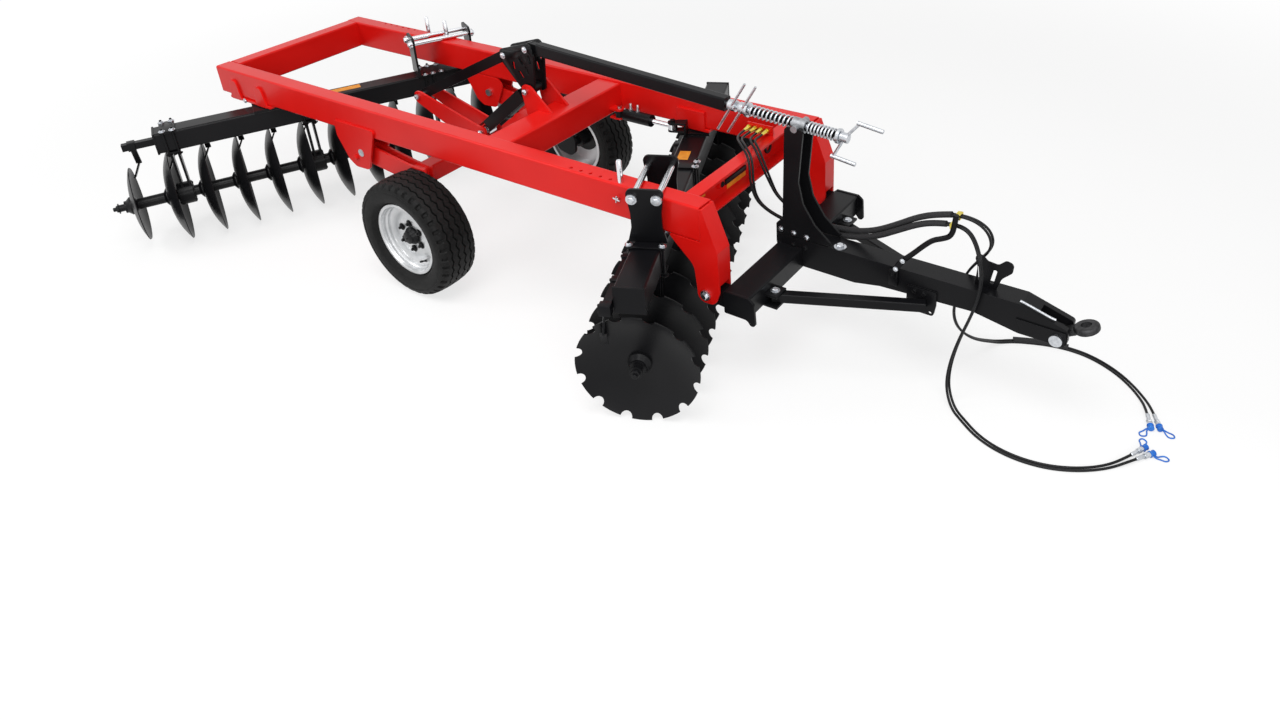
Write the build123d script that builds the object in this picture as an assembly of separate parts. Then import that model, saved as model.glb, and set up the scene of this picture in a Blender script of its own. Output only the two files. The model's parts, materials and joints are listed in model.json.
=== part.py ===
from build123d import *
import math
import os

# Trailed offset disc harrow. Sizes are in millimetres.
# Built with X forward, Y to the left, Z up: X is 0 at the front ends of the long tubes,
# Y is 0 on the middle of the frame and Z is 0 on the ground.
# It is written out with its origin moved to the middle of the towing eye.

# main frame
frame_length = 4073
frame_width = 1204
tube_height = 190
tube_width = 112
tube_edge = 12
frame_top = 1017
tube_middle = (frame_width - tube_width) / 2
tube_inside = frame_width / 2 - tube_width
frame_under = frame_top - tube_height

# mid cross box, tower plates behind it and the front channel
mid_box_front = -1356
mid_box_width = 180
mid_box_top = frame_top - 14
mid_box_height = 172
channel_back = -150
channel_depth = 78
channel_height = 160
channel_wall = 12
channel_top = frame_top - 6

# ears that carry the drawbar
ear_wall = 12
ear_pin = (18, 530)
ear_pin_r = 19
ear_pin_gap = 0.05
ear_lug_gap = 6

# axle frame and wheels
axle_pivot = (-2580, 705)
axle_pin_r = 25
axle_pin_gap = 0.05
wheel_x = -1982
tyre_r = 375
tyre_width = 264
rim_r = 223
wheel_gap = 21
wheel_middle_y = frame_width / 2 + wheel_gap + tyre_width / 2
hub_r = 62
spindle_r = 30
stud_r = 9
stud_count = 6
stud_circle_r = 86
spindle_gap = 0.05
axle_tube = 110
axle_tube_x = -2120
axle_tube_z = 634
axle_arm_wall = 16
cheek_wall = 14
cheek_gap = 0.3
cheek_top = 887

# lift cylinder, lever plates and rocker
lever_top = (-2640, 871)
lever_low = (-2072, 733)
lever_gap = 110
lever_wall = 14
rocker_pin = (-1602, 1111)
rocker_rear = (-1775, 1301)
rocker_front = (-1586, 1368)
rocker_gap = 104
rocker_wall = 12
link_pin_r = 14
link_pin_gap = 0.05
open_eye_gap = 3
rod_eye_gap = 7.5
tower_gap = 128
tower_wall = 14
lift_barrel_r = 38
lift_rod_r = 20
lift_barrel_share = 330
cover_half = 50
cover_wall = 4
cover_start = 100
cover_end = 552

# levelling tube, screw and springs
mast_pivot = (215, 1255)
level_tube_height = 74
level_tube_width = 60
level_tube_end = -215
screw_r = 16
screw_end = 470
spring_r = 31
spring_rear = (-80, 175)
spring_front = (255, 424)
trunnion_r = 34
trunnion_pin_r = 18
cross_bar_r = 7
cross_bar_half = 168

# drawbar
draw_cross_short = 17
draw_cross_length = frame_width - 2 * draw_cross_short
draw_cross_wide = 150
draw_cross_high = 118
draw_cross_x = 187
draw_cross_z = 520
end_plate_wall = 14
draw_tube_width = 120
draw_tube_rear = 104
draw_tube_top = 632
mast_gap = 96
mast_wall = 12
brace_side = 50
brace_inset = 190
brace_seat = 12
brace_rear = (draw_cross_x + draw_cross_wide / 2 + brace_seat, draw_cross_length / 2 - brace_inset)
brace_front = (960, 95.3)
brace_z = 488
hitch_pin = (1575, 504)
hitch_pin_r = 20
fork_half = 30
cheek_low = 422
cheek_hole_r = 9
eye_centre = (1685, 569)
eye_hole_r = 25
eye_ring_r = 58
eye_thick = 34
eye_lean = 20

# gangs: front one is turned one way, rear one the other
disc_r = 310
small_disc_r = 247
disc_wall = 6
disc_flat_r = 66
disc_bore_gap = 0.3
dish_r = 470
disc_pitch = 212.7
notch_r = 30
notch_count = 12
shaft_r = 20
spool_flange_r = 60
spool_flange_length = 24
spool_pipe_r = 36
bearing_r = 50
bearing_gap = 0.05
bearing_length = 92
housing_r = 76
beam_width = 150
beam_height = 140
beam_top = 788
beam_edge = 14
saddle_wall = 12
scraper_bar = 44
roller_r = 16
roller_seat = 0.3
carriage_wall = 15
carriage_top = frame_top + 64
index_hole_r = 10
index_pitch = 66
index_count = 6

# each gang: place of its outermost disc, turn from the cross line, count and direction
gangs = {
    "front": dict(x=-131, y=-973, turn=24.09, count=12, hollow=-1, notched=True, small=False,
                  beam=(-70, 2400), bearings=(1, 5, 9), carriage=(-133, 232), pivot_side=1,
                  bar=(-90, 2340), index_x=-492, index_side=-1),
    "rear": dict(x=-4061, y=-1408, turn=-27.15, count=13, hollow=1, notched=False, small=True,
                 beam=(245, 2665), bearings=(1, 5, 9), carriage=(-221, 182), pivot_side=-1,
                 bar=(35, 2640), index_x=-3390, index_side=1),
}

# gang angle cylinder on the front gang
angle_inset = 95
angle_y = tube_inside - angle_inset
angle_z = 846
angle_rear = -1296
angle_eye = -886
angle_barrel_r = 38
angle_barrel = 250
angle_rod_r = 16
angle_pin_r = 15
angle_bracket_half = 34
angle_bracket_nose = 24

# hydraulic hoses: two pairs from fittings on the front channel, over the drawbar, to the floor
hose_r = 6.5
hose_floor = 6.8
hose_start = 236
hose_height = 1040
fitting_r = 11
fitting_x = (-246, -208, -170, -132)
clamp_wide = 44
clamp_high = 25
clamp_long = 24
arm_r = 11
coupler_r = 13
coupler_long = 46
cap_r = 16
cap_long = 28
coupler_height = 16.4
corner_share = 0.45

# middle of each pair: x, y, z, half of the spread, heading of the right-hand hose in degrees
hose_pairs = {
    "lower": [
        (-227, 236, 1040, 19, 180), (-227, 160, 1040, 19, 180), (-203, 76, 1052, 12, 195),
        (-125, 0, 1062, 9, 225), (-36, -70, 1036, 9, 240), (-16, -100, 920, 10, 255),
        (-18, -62, 810, 10, 280), (-8, 5, 718, 10, 305), (30, 75, 640, 9, 310), (110, 105, 603, 8, 285),
        (205, 106, 604, 8, 270), (310, 98, 612, 8, 270), (415, 86, 628, 8, 270), (525, 62, 660, 8, 270),
        (640, 38, 718, 8, 270), (745, 20, 791, 8, 270), (850, 8, 862, 8, 270), (935, 3, 900, 8, 270),
        (1000, 0, 914, 8, 270), (1068, 0, 920, 8, 270), (1120, -12, 905, 8, 270),
        (1162, -35, 862, 9, 270), (1195, -57, 792, 10, 270), (1216, -80, 702, 10, 270),
        (1207, -86, 600, 10, 270), (1180, -92, 490, 10, 270), (1145, -108, 370, 10, 265),
        (1122, -130, 250, 9, 258), (1116, -146, 138, 9, 250), (1135, -164, 62, 9, 244),
        (1176, -192, 6.8, 9, 236), (1243, -243, 6.8, 9, 232), (1322, -300, 6.8, 9, 238),
        (1412, -338, 6.8, 9, 251), (1507, -354, 6.8, 9, 266), (1600, -351, 6.8, 9, 276),
        (1690, -331, 6.8, 9, 288), (1775, -293, 6.8, 9, 298), (1850, -243, 6.8, 9, 308),
        (1913, -183, 6.8, 10, 317), (1964, -121, 16.4, 12, 326), (2001, -62, 16.4, 17, 330)],
    "upper": [
        (-151, 236, 1040, 19, 180), (-151, 160, 1040, 19, 180), (-124, 82, 1056, 12, 200),
        (-52, 24, 1042, 9, 225), (2, 0, 960, 9, 242), (22, 30, 862, 9, 270), (24, 78, 774, 9, 292),
        (60, 118, 700, 8, 305), (148, 124, 655, 8, 280), (250, 116, 641, 8, 270),
        (370, 107, 650, 8, 270), (500, 90, 677, 8, 270), (615, 66, 729, 8, 270),
        (729, 44, 806, 8, 270), (850, 24, 896, 8, 270), (950, 10, 946, 8, 270),
        (1022, 1, 970, 8, 270), (1090, 0, 976, 8, 270), (1150, 2, 964, 10, 270),
        (1196, 8, 930, 13, 270), (1218, 16, 876, 15, 270), (1208, 32, 818, 15, 270),
        (1172, 52, 756, 12, 270), (1132, 76, 694, 9, 270), (1095, 92, 630, 9, 270),
        (1062, 96, 545, 9, 275), (1042, 98, 448, 9, 285), (1034, 102, 350, 9, 300),
        (1048, 123, 267, 9, 320), (1078, 165, 198, 9, 330), (1108, 222, 142, 9, 336),
        (1132, 290, 93, 9, 342), (1155, 362, 48, 9, 340), (1183, 432, 6.8, 9, 325),
        (1247, 479, 6.8, 9, 303), (1330, 515, 6.8, 9, 291), (1420, 545, 6.8, 9, 284),
        (1515, 560, 6.8, 9, 273), (1610, 555, 6.8, 9, 260), (1700, 527, 6.8, 9, 247),
        (1785, 483, 6.8, 9, 238), (1860, 425, 6.8, 9, 229), (1925, 357, 6.8, 10, 218),
        (1970, 285, 16.4, 13, 209), (2002, 215, 16.4, 17, 204)],
}
clamp_runs = {"lower": 18, "upper": 16}
arm_points = [(775, -71.8, 590), (788, -71.8, 650), (826, -64, 696), (868, -50, 738),
              (908, -43, 785), (952, -38, 830), (1000, -34, 850), (1034, -33.4, 872),
              (1048, -33.4, 915), (1054, -33.4, 992)]

eye_shift = Location((-eye_centre[0], 0, -eye_centre[1]))
nodes = {}


def keep(name, *solids):
    """Store the solids of one piece under its name."""
    nodes[name] = list(solids)


def outline(table):
    """Face in XY from rows of x, y, corner radius."""
    count = len(table)
    corners = []
    for i, (x, y, r) in enumerate(table):
        corner = Vector(x, y)
        before = (Vector(*table[i - 1][:2]) - corner).normalized()
        after = (Vector(*table[(i + 1) % count][:2]) - corner).normalized()
        if not r:
            corners.append((corner, None, corner))
            continue
        half = math.acos(max(-1, min(1, before.dot(after)))) / 2
        reach = r / math.tan(half)
        bisector = (before + after).normalized()
        middle = corner + bisector * (r / math.sin(half) - r)
        corners.append((corner + before * reach, middle, corner + after * reach))
    edges = []
    for i, (start, middle, end) in enumerate(corners):
        if middle is not None:
            edges.append(ThreePointArc(start, middle, end))
        edges.append(Line(end, corners[(i + 1) % count][0]))
    return make_face(edges)


def plate_xz(table, y0, y1):
    """Plate with its outline in X and Z, between two Y planes."""
    place = Plane((0, y1, 0), x_dir=(1, 0, 0), z_dir=(0, -1, 0)).location
    return place * extrude(outline(table), y1 - y0)


def plate_xy(table, z0, z1):
    """Plate with its outline in X and Y, between two heights."""
    return Pos(0, 0, z0) * extrude(outline(table), z1 - z0)


def block(x0, x1, y0, y1, z0, z1):
    """Square block between corner planes."""
    middle = Pos((x0 + x1) / 2, (y0 + y1) / 2, (z0 + z1) / 2)
    return middle * Box(x1 - x0, y1 - y0, z1 - z0)


def rod(start, end, radius):
    """Round bar from one point to another."""
    start = Vector(*start)
    run = Vector(*end) - start
    place = Plane(origin=start, z_dir=run.normalized()).location
    return place * Cylinder(radius, run.length, align=(Align.CENTER, Align.CENTER, Align.MIN))


def pin_y(x, z, y0, y1, radius):
    """Round bar along Y."""
    return rod((x, y0, z), (x, y1, z), radius)


def bar(start, end, wide, high, edge=0):
    """Square bar from one point to another, its width level."""
    start = Vector(*start)
    run = Vector(*end) - start
    along = run.normalized()
    level = Vector(0, 0, 1).cross(along)
    place = Plane(origin=start, x_dir=level, z_dir=along).location
    body = Box(wide, high, run.length, align=(Align.CENTER, Align.CENTER, Align.MIN))
    if edge:
        body = fillet(body.edges().filter_by(Axis.Z), edge)
    return place * body


def tube_along(points, radius):
    """Round tube along a route of straight runs joined by arcs."""
    points = [Vector(*point) for point in points]
    radii = []
    for before, corner, after in zip(points, points[1:], points[2:]):
        turn = math.radians((corner - before).get_angle(after - corner))
        shorter = min((corner - before).length, (after - corner).length)
        radii.append(corner_share * shorter / math.tan(turn / 2))
    path = FilletPolyline(*points, radius=radii)
    start = Plane(origin=points[0], z_dir=points[1] - points[0])
    solid = sweep(start * Circle(radius), path=path)
    share = solid.volume / (math.pi * radius ** 2 * path.length)
    print("least radius", round(min(radii)), "length", round(path.length), "volume share", round(share, 4))
    return solid


def strip(rear, front, half, end_r):
    """Rows of an upright link's outline from one pin to another, ends round."""
    rear = Vector(*rear)
    front = Vector(*front)
    along = (front - rear).normalized()
    across = Vector(-along.Y, along.X)
    corners = [rear - along * end_r + across * half, rear - along * end_r - across * half,
               front + along * end_r - across * half, front + along * end_r + across * half]
    return [(point.X, point.Y, min(half, end_r) * 0.96) for point in corners]


def long_tube(side):
    """One long frame tube with the index holes for the gang that slides on it."""
    middle = side * tube_middle
    tube = block(-frame_length, 0, middle - tube_width / 2, middle + tube_width / 2,
                 frame_under, frame_top)
    tube = fillet(tube.edges().filter_by(Axis.X), tube_edge)
    for gang in gangs.values():
        if gang["index_side"] == side:
            for step in range(index_count):
                hole_x = gang["index_x"] - step * index_pitch
                hole = rod((hole_x, middle + side * tube_width / 4, frame_top - 30),
                           (hole_x, middle + side * tube_width / 4, frame_top + 5), index_hole_r)
                tube -= hole
    return tube


def ear(side):
    """Ear under a long tube's front end: two plates, a front flange and the joining top."""
    outer = frame_width / 2
    inner = tube_inside + 6
    plate = [(-182, frame_under, 0), (-182, 816, 0), (-145, 777, 90), (-46, 682, 90),
             (-34, 540, 0), (-34, 480, 48), (70, 480, 48), (98, 560, 20), (98, 790, 20),
             (16, frame_top - 8, 0), (0, frame_top - 8, 0), (0, frame_under, 0)]
    solid = None
    for near, far in ((outer - ear_wall, outer), (inner, inner + ear_wall)):
        sheet = plate_xz(plate, near, far)
        solid = sheet if solid is None else solid + sheet
    flange_table = [(98, 600, 0), (98, 790, 0), (16, frame_top - 8, 0), (4, frame_top - 8, 0),
                    (86, 787, 0), (86, 600, 0)]
    solid += plate_xz(flange_table, inner, outer)
    solid -= pin_y(*ear_pin, inner - 5, outer + 5, ear_pin_r + 0.1)
    solid += block(-182, -2, inner + 10, outer - 10, frame_under - 12, frame_under - 0.3)
    if side < 0:
        solid = mirror(solid, Plane.XZ)
    return solid


def ear_pins():
    """Pins through the ears, with heads outside."""
    pins = []
    for side in (-1, 1):
        inner = side * (tube_inside - 10)
        outer = side * (frame_width / 2 + 10)
        pins.append(pin_y(*ear_pin, inner, outer, ear_pin_r)
                    + pin_y(*ear_pin, side * (frame_width / 2 + 0.3), outer, ear_pin_r + 9))
    return pins


def build_frame():
    """Welded frame: long tubes, cross pieces, ears, tower and brackets."""
    keep("long_tubes", long_tube(-1), long_tube(1))
    keep("drawbar_ears", ear(-1), ear(1))

    rear = block(-frame_length, -frame_length + tube_width, -tube_inside, tube_inside,
                 frame_under, frame_top)
    rear = fillet(rear.edges().filter_by(Axis.Y), tube_edge)

    mid = block(mid_box_front - mid_box_width, mid_box_front, -tube_inside, tube_inside,
                mid_box_top - mid_box_height, mid_box_top)
    mid = fillet(mid.edges().filter_by(Axis.Y), tube_edge)

    under = channel_top - channel_height
    front = channel_back + channel_depth
    channel = [(channel_back, under, 0), (front, under, 0), (front, under + channel_wall, 0),
               (channel_back + channel_wall, under + channel_wall, 0),
               (channel_back + channel_wall, channel_top - channel_wall, 0),
               (front, channel_top - channel_wall, 0), (front, channel_top, 0),
               (channel_back, channel_top, 0)]
    fitting_plate = block(-262, -100, hose_start + 22, hose_start + 30, channel_top - 2, hose_height + 26)
    fittings = []
    for x in fitting_x:
        fitting_plate -= pin_y(x, hose_height, hose_start, hose_start + 60, fitting_r + 0.05)
        body = pin_y(x, hose_height, hose_start, hose_start + 54, fitting_r)
        body += pin_y(x, hose_height, hose_start + 30.3, hose_start + 42, fitting_r + 4)
        fittings.append(body + pin_y(x, hose_height, hose_start + 8, hose_start + 21.7, fitting_r + 4))
    keep("hose_fittings", *fittings)
    keep("cross_members", rear, mid, plate_xz(channel, -tube_inside, tube_inside) + fitting_plate)

    mid_back = mid_box_front - mid_box_width
    tower = [(mid_back, mid_box_top, 0), (mid_back, mid_box_top - mid_box_height, 0),
             (mid_back - 70, mid_box_top - mid_box_height + 40, 30),
             (rocker_pin[0] - 40, rocker_pin[1] - 20, 30),
             (rocker_pin[0] - 30, rocker_pin[1] + 40, 30),
             (rocker_pin[0] + 34, rocker_pin[1] + 36, 30),
             (mid_box_front - 60, mid_box_top, 0)]
    plates = []
    for side in (-1, 1):
        y0 = side * (tower_gap / 2 + tower_wall / 2) - tower_wall / 2
        plate = plate_xz(tower, y0, y0 + tower_wall)
        plates.append(plate - pin_y(*rocker_pin, y0 - 5, y0 + tower_wall + 5,
                                    link_pin_r + link_pin_gap))
    pin_half = tower_gap / 2 + tower_wall + 16
    keep("lift_tower", *plates)
    pins = ear_pins()
    pins.append(pin_y(*rocker_pin, -pin_half, pin_half, link_pin_r))

    bracket = [(-2797, frame_under - 0.2, 0), (-2797, 779, 30), (-2719, 628, 30),
               (-2662, 590, 40), (-2534, 595, 40), (-2408, frame_under - 0.2, 60)]
    cheek = bracket[1:-1] + [(-2534 + (cheek_top - 595) * 0.43, cheek_top, 20), (-2797, cheek_top, 20)]
    brackets = []
    for side in (-1, 1):
        for table, near in ((bracket, tube_inside), (cheek, frame_width / 2 + cheek_gap)):
            y0 = side * (near + cheek_wall / 2) - cheek_wall / 2
            plate = plate_xz(table, y0, y0 + cheek_wall)
            brackets.append(plate - pin_y(*axle_pivot, y0 - 5, y0 + cheek_wall + 5,
                                          axle_pin_r + axle_pin_gap))
    keep("axle_brackets", *brackets)

    for side in (-1, 1):
        middle = side * tube_middle
        reach = tube_width / 2 + cheek_wall + 4
        pins.append(pin_y(*axle_pivot, middle - reach, middle + reach, axle_pin_r))
    pins.append(build_angle_cylinder())
    keep("frame_pins", *pins)

    hangers = []
    for centre_x, low in ((-3892, 808), (-3600, 808)):
        tongue = [(centre_x - 62, low, 10), (centre_x + 62, low, 10),
                  (centre_x + 34, 948, 30), (centre_x - 34, 948, 30)]
        hangers.append(plate_xz(tongue, -frame_width / 2 - 14.2, -frame_width / 2 - 0.2))
    plate = block(-3960, -3500, -frame_width / 2 - 14.2, -tube_inside + 10,
                  frame_under - 16.2, frame_under - 0.2)
    pivot = gang_point("rear", 0, pivot_reach("rear"))
    hole = rod((pivot.X, pivot.Y, frame_under - 40), (pivot.X, pivot.Y, frame_under + 5), 20.05)
    hanger = (hangers[0] + hangers[1] + plate) - hole

    pivot = gang_point("front", 0, pivot_reach("front"))
    plate = block(pivot.X - 130, pivot.X + 130, tube_inside - 14, frame_width / 2 + 14,
                  frame_under - 16.2, frame_under - 0.2)
    cheek = block(pivot.X - 100, pivot.X + 100, tube_inside - 14.2, tube_inside - 0.2,
                  frame_under - 16.2, frame_under + 110)
    hole = rod((pivot.X, pivot.Y, frame_under - 40), (pivot.X, pivot.Y, frame_under + 5), 20.05)
    keep("gang_pivot_brackets", hanger, (plate + cheek) - hole)


def gang_place(name):
    """Place of a gang's own axes: Y along the gang, X forward of it."""
    gang = gangs[name]
    return Location((gang["x"], gang["y"], 0), (0, 0, gang["turn"]))


def gang_point(name, forward, along, height=0):
    """A gang's own point in the machine's axes."""
    return (gang_place(name) * Pos(forward, along, height)).position


def pivot_reach(name):
    """Distance along the gang to its pivot under a long tube."""
    gang = gangs[name]
    return (gang["pivot_side"] * tube_middle - gang["y"]) / math.cos(math.radians(gang["turn"]))


def slide_reach(name):
    """Distance along the gang to the long tube that its carriage slides on."""
    gang = gangs[name]
    return (gang["index_side"] * tube_middle - gang["y"]) / math.cos(math.radians(gang["turn"]))


def disc(radius, hollow, notched):
    """One dished disc about Y, its flat middle at Y 0."""
    half = disc_wall / 2
    reach = radius - disc_flat_r
    top = math.asin(reach / dish_r)

    def point(angle, offset):
        r = dish_r + offset
        return (disc_flat_r + r * math.sin(angle), hollow * (dish_r - r * math.cos(angle)))

    bore = shaft_r + disc_bore_gap
    inner = [point(0, -half), point(top / 2, -half), point(top, -half)]
    outer = [point(0, half), point(top / 2, half), point(top, half)]
    profile = make_face([
        Line((bore, inner[0][1]), inner[0]), ThreePointArc(*inner), Line(inner[2], outer[2]),
        ThreePointArc(outer[2], outer[1], outer[0]), Line(outer[0], (bore, outer[0][1])),
        Line((bore, outer[0][1]), (bore, inner[0][1]))])
    solid = revolve(profile, Axis.Y)
    if notched:
        for step in range(notch_count):
            angle = 2 * math.pi * (step + 0.5) / notch_count
            x = radius * math.cos(angle)
            z = radius * math.sin(angle)
            solid -= rod((x, -200, z), (x, 200, z), notch_r)
    return solid


def build_rotor(name):
    """Discs and the shaft with its spools, which turn together."""
    gang = gangs[name]
    place = gang_place(name) * Pos(0, 0, disc_r)
    plain = disc(disc_r, gang["hollow"], gang["notched"])
    solids = []
    for i in range(gang["count"]):
        one = plain
        if gang["small"] and i == 0:
            one = disc(small_disc_r, gang["hollow"], gang["notched"])
        solids.append(place * Pos(0, i * disc_pitch, 0) * one)
    keep(name + "_discs", *solids)

    half = disc_wall / 2
    last = (gang["count"] - 1) * disc_pitch
    rows = [(0, -86), (24, -86), (24, -52), (40, -52), (40, -40), (spool_flange_r, -18),
            (spool_flange_r, -half), (shaft_r, -half)]
    for i in range(gang["count"] - 1):
        s0 = i * disc_pitch + half
        s1 = (i + 1) * disc_pitch - half
        middle = (s0 + s1) / 2
        rows += [(shaft_r, s0), (spool_flange_r, s0), (spool_flange_r, s0 + 8),
                 (spool_pipe_r, s0 + spool_flange_length)]
        if i in gang["bearings"]:
            rows += [(spool_pipe_r, middle - bearing_length / 2 - 6),
                     (bearing_r, middle - bearing_length / 2 - 6),
                     (bearing_r, middle + bearing_length / 2 + 6),
                     (spool_pipe_r, middle + bearing_length / 2 + 6)]
        rows += [(spool_pipe_r, s1 - spool_flange_length), (spool_flange_r, s1 - 8),
                 (spool_flange_r, s1), (shaft_r, s1)]
    rows += [(shaft_r, last + half), (spool_flange_r, last + half), (spool_flange_r, last + 18),
             (40, last + 40), (40, last + 52), (24, last + 52), (24, last + 86), (0, last + 86)]
    core = revolve(outline([(r, s, 0) for r, s in rows]), Axis.Y)
    keep(name + "_shaft", place * core)


def angle_bracket(place):
    """Bracket and pin on the front beam for the angle cylinder's rod."""
    eye = (place.inverse() * Pos(angle_eye, angle_y, angle_z)).position
    wall = -beam_width / 2 + 30
    half = angle_bracket_half
    nose = angle_bracket_nose
    body = block(wall - 12, wall, eye.Y - half, eye.Y + half, beam_top - 2, angle_z + 31)
    table = [(wall - 2, eye.Y - half, 0), (eye.X - 30, eye.Y - nose, nose - 2),
             (eye.X - 30, eye.Y + nose, nose - 2), (wall - 2, eye.Y + half, 0)]
    for low in (-31, 19):
        body += plate_xy(table, angle_z + low, angle_z + low + 12)
    body += rod((eye.X, eye.Y, angle_z - 36), (eye.X, eye.Y, angle_z + 44), angle_pin_r)
    return place * body


def build_carrier(name):
    """Beam, bearing standards, scrapers and the carriage that slides on a long tube."""
    gang = gangs[name]
    place = gang_place(name)
    hollow = gang["hollow"]
    start, end = gang["beam"]
    under = beam_top - beam_height
    half = beam_width / 2

    beam = block(-half, half, start, end, under, beam_top)
    beam = fillet(beam.edges().filter_by(Axis.Y), beam_edge)
    for s in (start, end):
        beam += block(-half - 2, half + 2, s - 6, s + 6, under - 2, beam_top + 2)
    reach = pivot_reach(name)
    beam += block(-90, 90, reach - 110, reach + 110, beam_top - 1, beam_top + 14)
    beam += rod((0, reach, beam_top), (0, reach, frame_under - 0.5), 20)
    beam = place * beam
    if name == "front":
        beam += angle_bracket(place)
    keep(name + "_gang_beam", beam)

    standards = []
    for i in gang["bearings"]:
        middle = (i + 0.5) * disc_pitch
        lean = hollow * 12
        housing = rod((0, middle - bearing_length / 2, disc_r),
                      (0, middle + bearing_length / 2, disc_r), housing_r)
        leg = [(-62, under - 0.3, 0), (-44, disc_r + 40, 0), (44, disc_r + 40, 0),
               (62, under - 0.3, 0)]
        body = housing
        for offset in (-22, 22):
            s = middle + lean + offset
            body += plate_xz(leg, s - 7, s + 7)
        body += block(-88, 88, middle + lean - 40, middle + lean + 40, under - 12.3, under - 0.3)
        body -= rod((0, middle - 60, disc_r), (0, middle + 60, disc_r), bearing_r + bearing_gap)
        standards.append(place * body)
    keep(name + "_bearing_standards", *standards)

    bar_x = -half - scraper_bar / 2 - 14
    bar_z = under + 30
    s0, s1 = gang["bar"]
    scraper = block(bar_x - scraper_bar / 2, bar_x + scraper_bar / 2, s0, s1,
                    bar_z - scraper_bar / 2, bar_z + scraper_bar / 2)
    for i in gang["bearings"]:
        middle = (i + 0.5) * disc_pitch
        scraper += block(bar_x, -half - 0.3, middle - 30, middle + 30, bar_z - 12, bar_z + 12)
    for i in range(gang["count"]):
        s = i * disc_pitch
        knee = s + hollow * 92
        tip = s + hollow * 46
        top = (bar_x - 6, knee, bar_z)
        low = (bar_x - 26, knee + hollow * 6, 540)
        blade = (bar_x - 40, tip, 440)
        scraper += bar(top, low, 34, 10)
        scraper += bar(low, blade, 34, 10)
    keep(name + "_scrapers", place * scraper)

    near, far = [slide_reach(name) + offset for offset in gang["carriage"]]
    waist = [(-100, beam_top, 6), (100, beam_top, 6), (78, 870, 60), (78, 950, 60),
             (98, carriage_top, 30), (-98, carriage_top, 30), (-78, 950, 60), (-78, 870, 60)]
    body = None
    for s in (near, far):
        plate = plate_xz(waist, s - carriage_wall / 2, s + carriage_wall / 2)
        body = plate if body is None else body + plate
    body += block(-95, 95, near, far, beam_top + 0.3, beam_top + saddle_wall)

    rollers = []
    roller_z = frame_top + roller_seat + roller_r
    for x in (-62, 62):
        roller = rod((x, near - 22, roller_z), (x, far + 22, roller_z), roller_r)
        for s, way in ((near, -1), (far, 1)):
            face = s + way * (carriage_wall / 2 + 0.3)
            roller += rod((x, face, roller_z), (x, face + way * 12, roller_z), roller_r + 12)
        rollers.append(roller)
    keep(name + "_carriage", place * (body - rollers_holes(rollers)))
    keep(name + "_carriage_rollers", *[place * roller for roller in rollers])


def rollers_holes(rollers):
    """Rollers joined, to cut their holes in the carriage plates."""
    both = rollers[0]
    for other in rollers[1:]:
        both = both + other
    return both


def build_axle():
    """Swinging axle frame, hub carriers, lever plates and wheels."""
    half = axle_tube / 2
    cross = block(axle_tube_x - half, axle_tube_x + half, -tube_inside - 90, tube_inside + 90,
                  axle_tube_z - half, axle_tube_z + half)
    cross = fillet(cross.edges().filter_by(Axis.Y), 10)
    pivot_x, pivot_z = axle_pivot
    arm_front = axle_tube_x + half + 30
    arm = [(pivot_x - 52, pivot_z - 46, 44), (pivot_x + 20, pivot_z - 80, 40),
           (axle_tube_x, axle_tube_z - half - 6, 20), (arm_front, axle_tube_z - half, 20),
           (arm_front, axle_tube_z + half + 8, 20), (axle_tube_x - 60, axle_tube_z + half + 14, 40),
           (pivot_x + 60, pivot_z + 46, 40), (pivot_x - 52, pivot_z + 46, 44)]
    frame = cross
    for side in (-1, 1):
        for offset in (-28, 28):
            y = side * tube_middle + offset
            frame += plate_xz(arm, y - axle_arm_wall / 2, y + axle_arm_wall / 2)
        y = side * tube_middle
        frame += pin_y(*axle_pivot, y - 38, y + 38, 46)
    for side in (-1, 1):
        y = side * (lever_gap + lever_wall) / 2
        low_x, low_z = lever_low
        top_x, top_z = lever_top
        lever = [(top_x - 34, top_z + 34, 32), (top_x - 34, top_z - 40, 32),
                 (axle_tube_x - half, axle_tube_z - 10, 30),
                 (axle_tube_x + half, axle_tube_z - 10, 20),
                 (low_x + 36, low_z - 30, 20), (low_x + 36, low_z + 34, 32),
                 (low_x - 40, low_z + 40, 40), (top_x + 30, top_z + 34, 32)]
        frame += plate_xz(lever, y - lever_wall / 2, y + lever_wall / 2)
    for side in (-1, 1):
        y = side * tube_middle
        frame -= pin_y(*axle_pivot, y - 80, y + 80, axle_pin_r + axle_pin_gap)
    frame -= pin_y(*lever_top, -100, 100, link_pin_r + link_pin_gap)
    frame -= pin_y(*lever_low, -100, 100, link_pin_r + link_pin_gap)
    keep("axle_frame", frame)
    reach = lever_gap / 2 + lever_wall + 14
    keep("lever_pins", pin_y(*lever_top, -reach, reach, link_pin_r),
         pin_y(*lever_low, -reach, reach, link_pin_r))

    carrier_in = tube_inside + 92
    carriers = []
    for side in (-1, 1):
        table = [(axle_tube_x - half - 10, axle_tube_z - half - 20, 20),
                 (wheel_x - 76, tyre_r - 40, 50), (wheel_x + 70, tyre_r - 76, 60),
                 (wheel_x + 84, tyre_r + 60, 50), (axle_tube_x + half + 34, axle_tube_z + half, 20),
                 (axle_tube_x - half, axle_tube_z + half, 20)]
        plate = plate_xz(table, carrier_in, carrier_in + 20)
        plate += pin_y(wheel_x, tyre_r, carrier_in + 10, wheel_middle_y + 52, spindle_r)
        plate += pin_y(wheel_x, tyre_r, carrier_in + 10, carrier_in + 34, 58)
        if side < 0:
            plate = mirror(plate, Plane.XZ)
        carriers.append(plate)
    keep("hub_carriers", *carriers)


def stud_circle():
    """Places of the wheel studs about the spindle."""
    angles = [2 * math.pi * (step + 0.5) / stud_count for step in range(stud_count)]
    return [(stud_circle_r * math.cos(angle), stud_circle_r * math.sin(angle)) for angle in angles]


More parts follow.
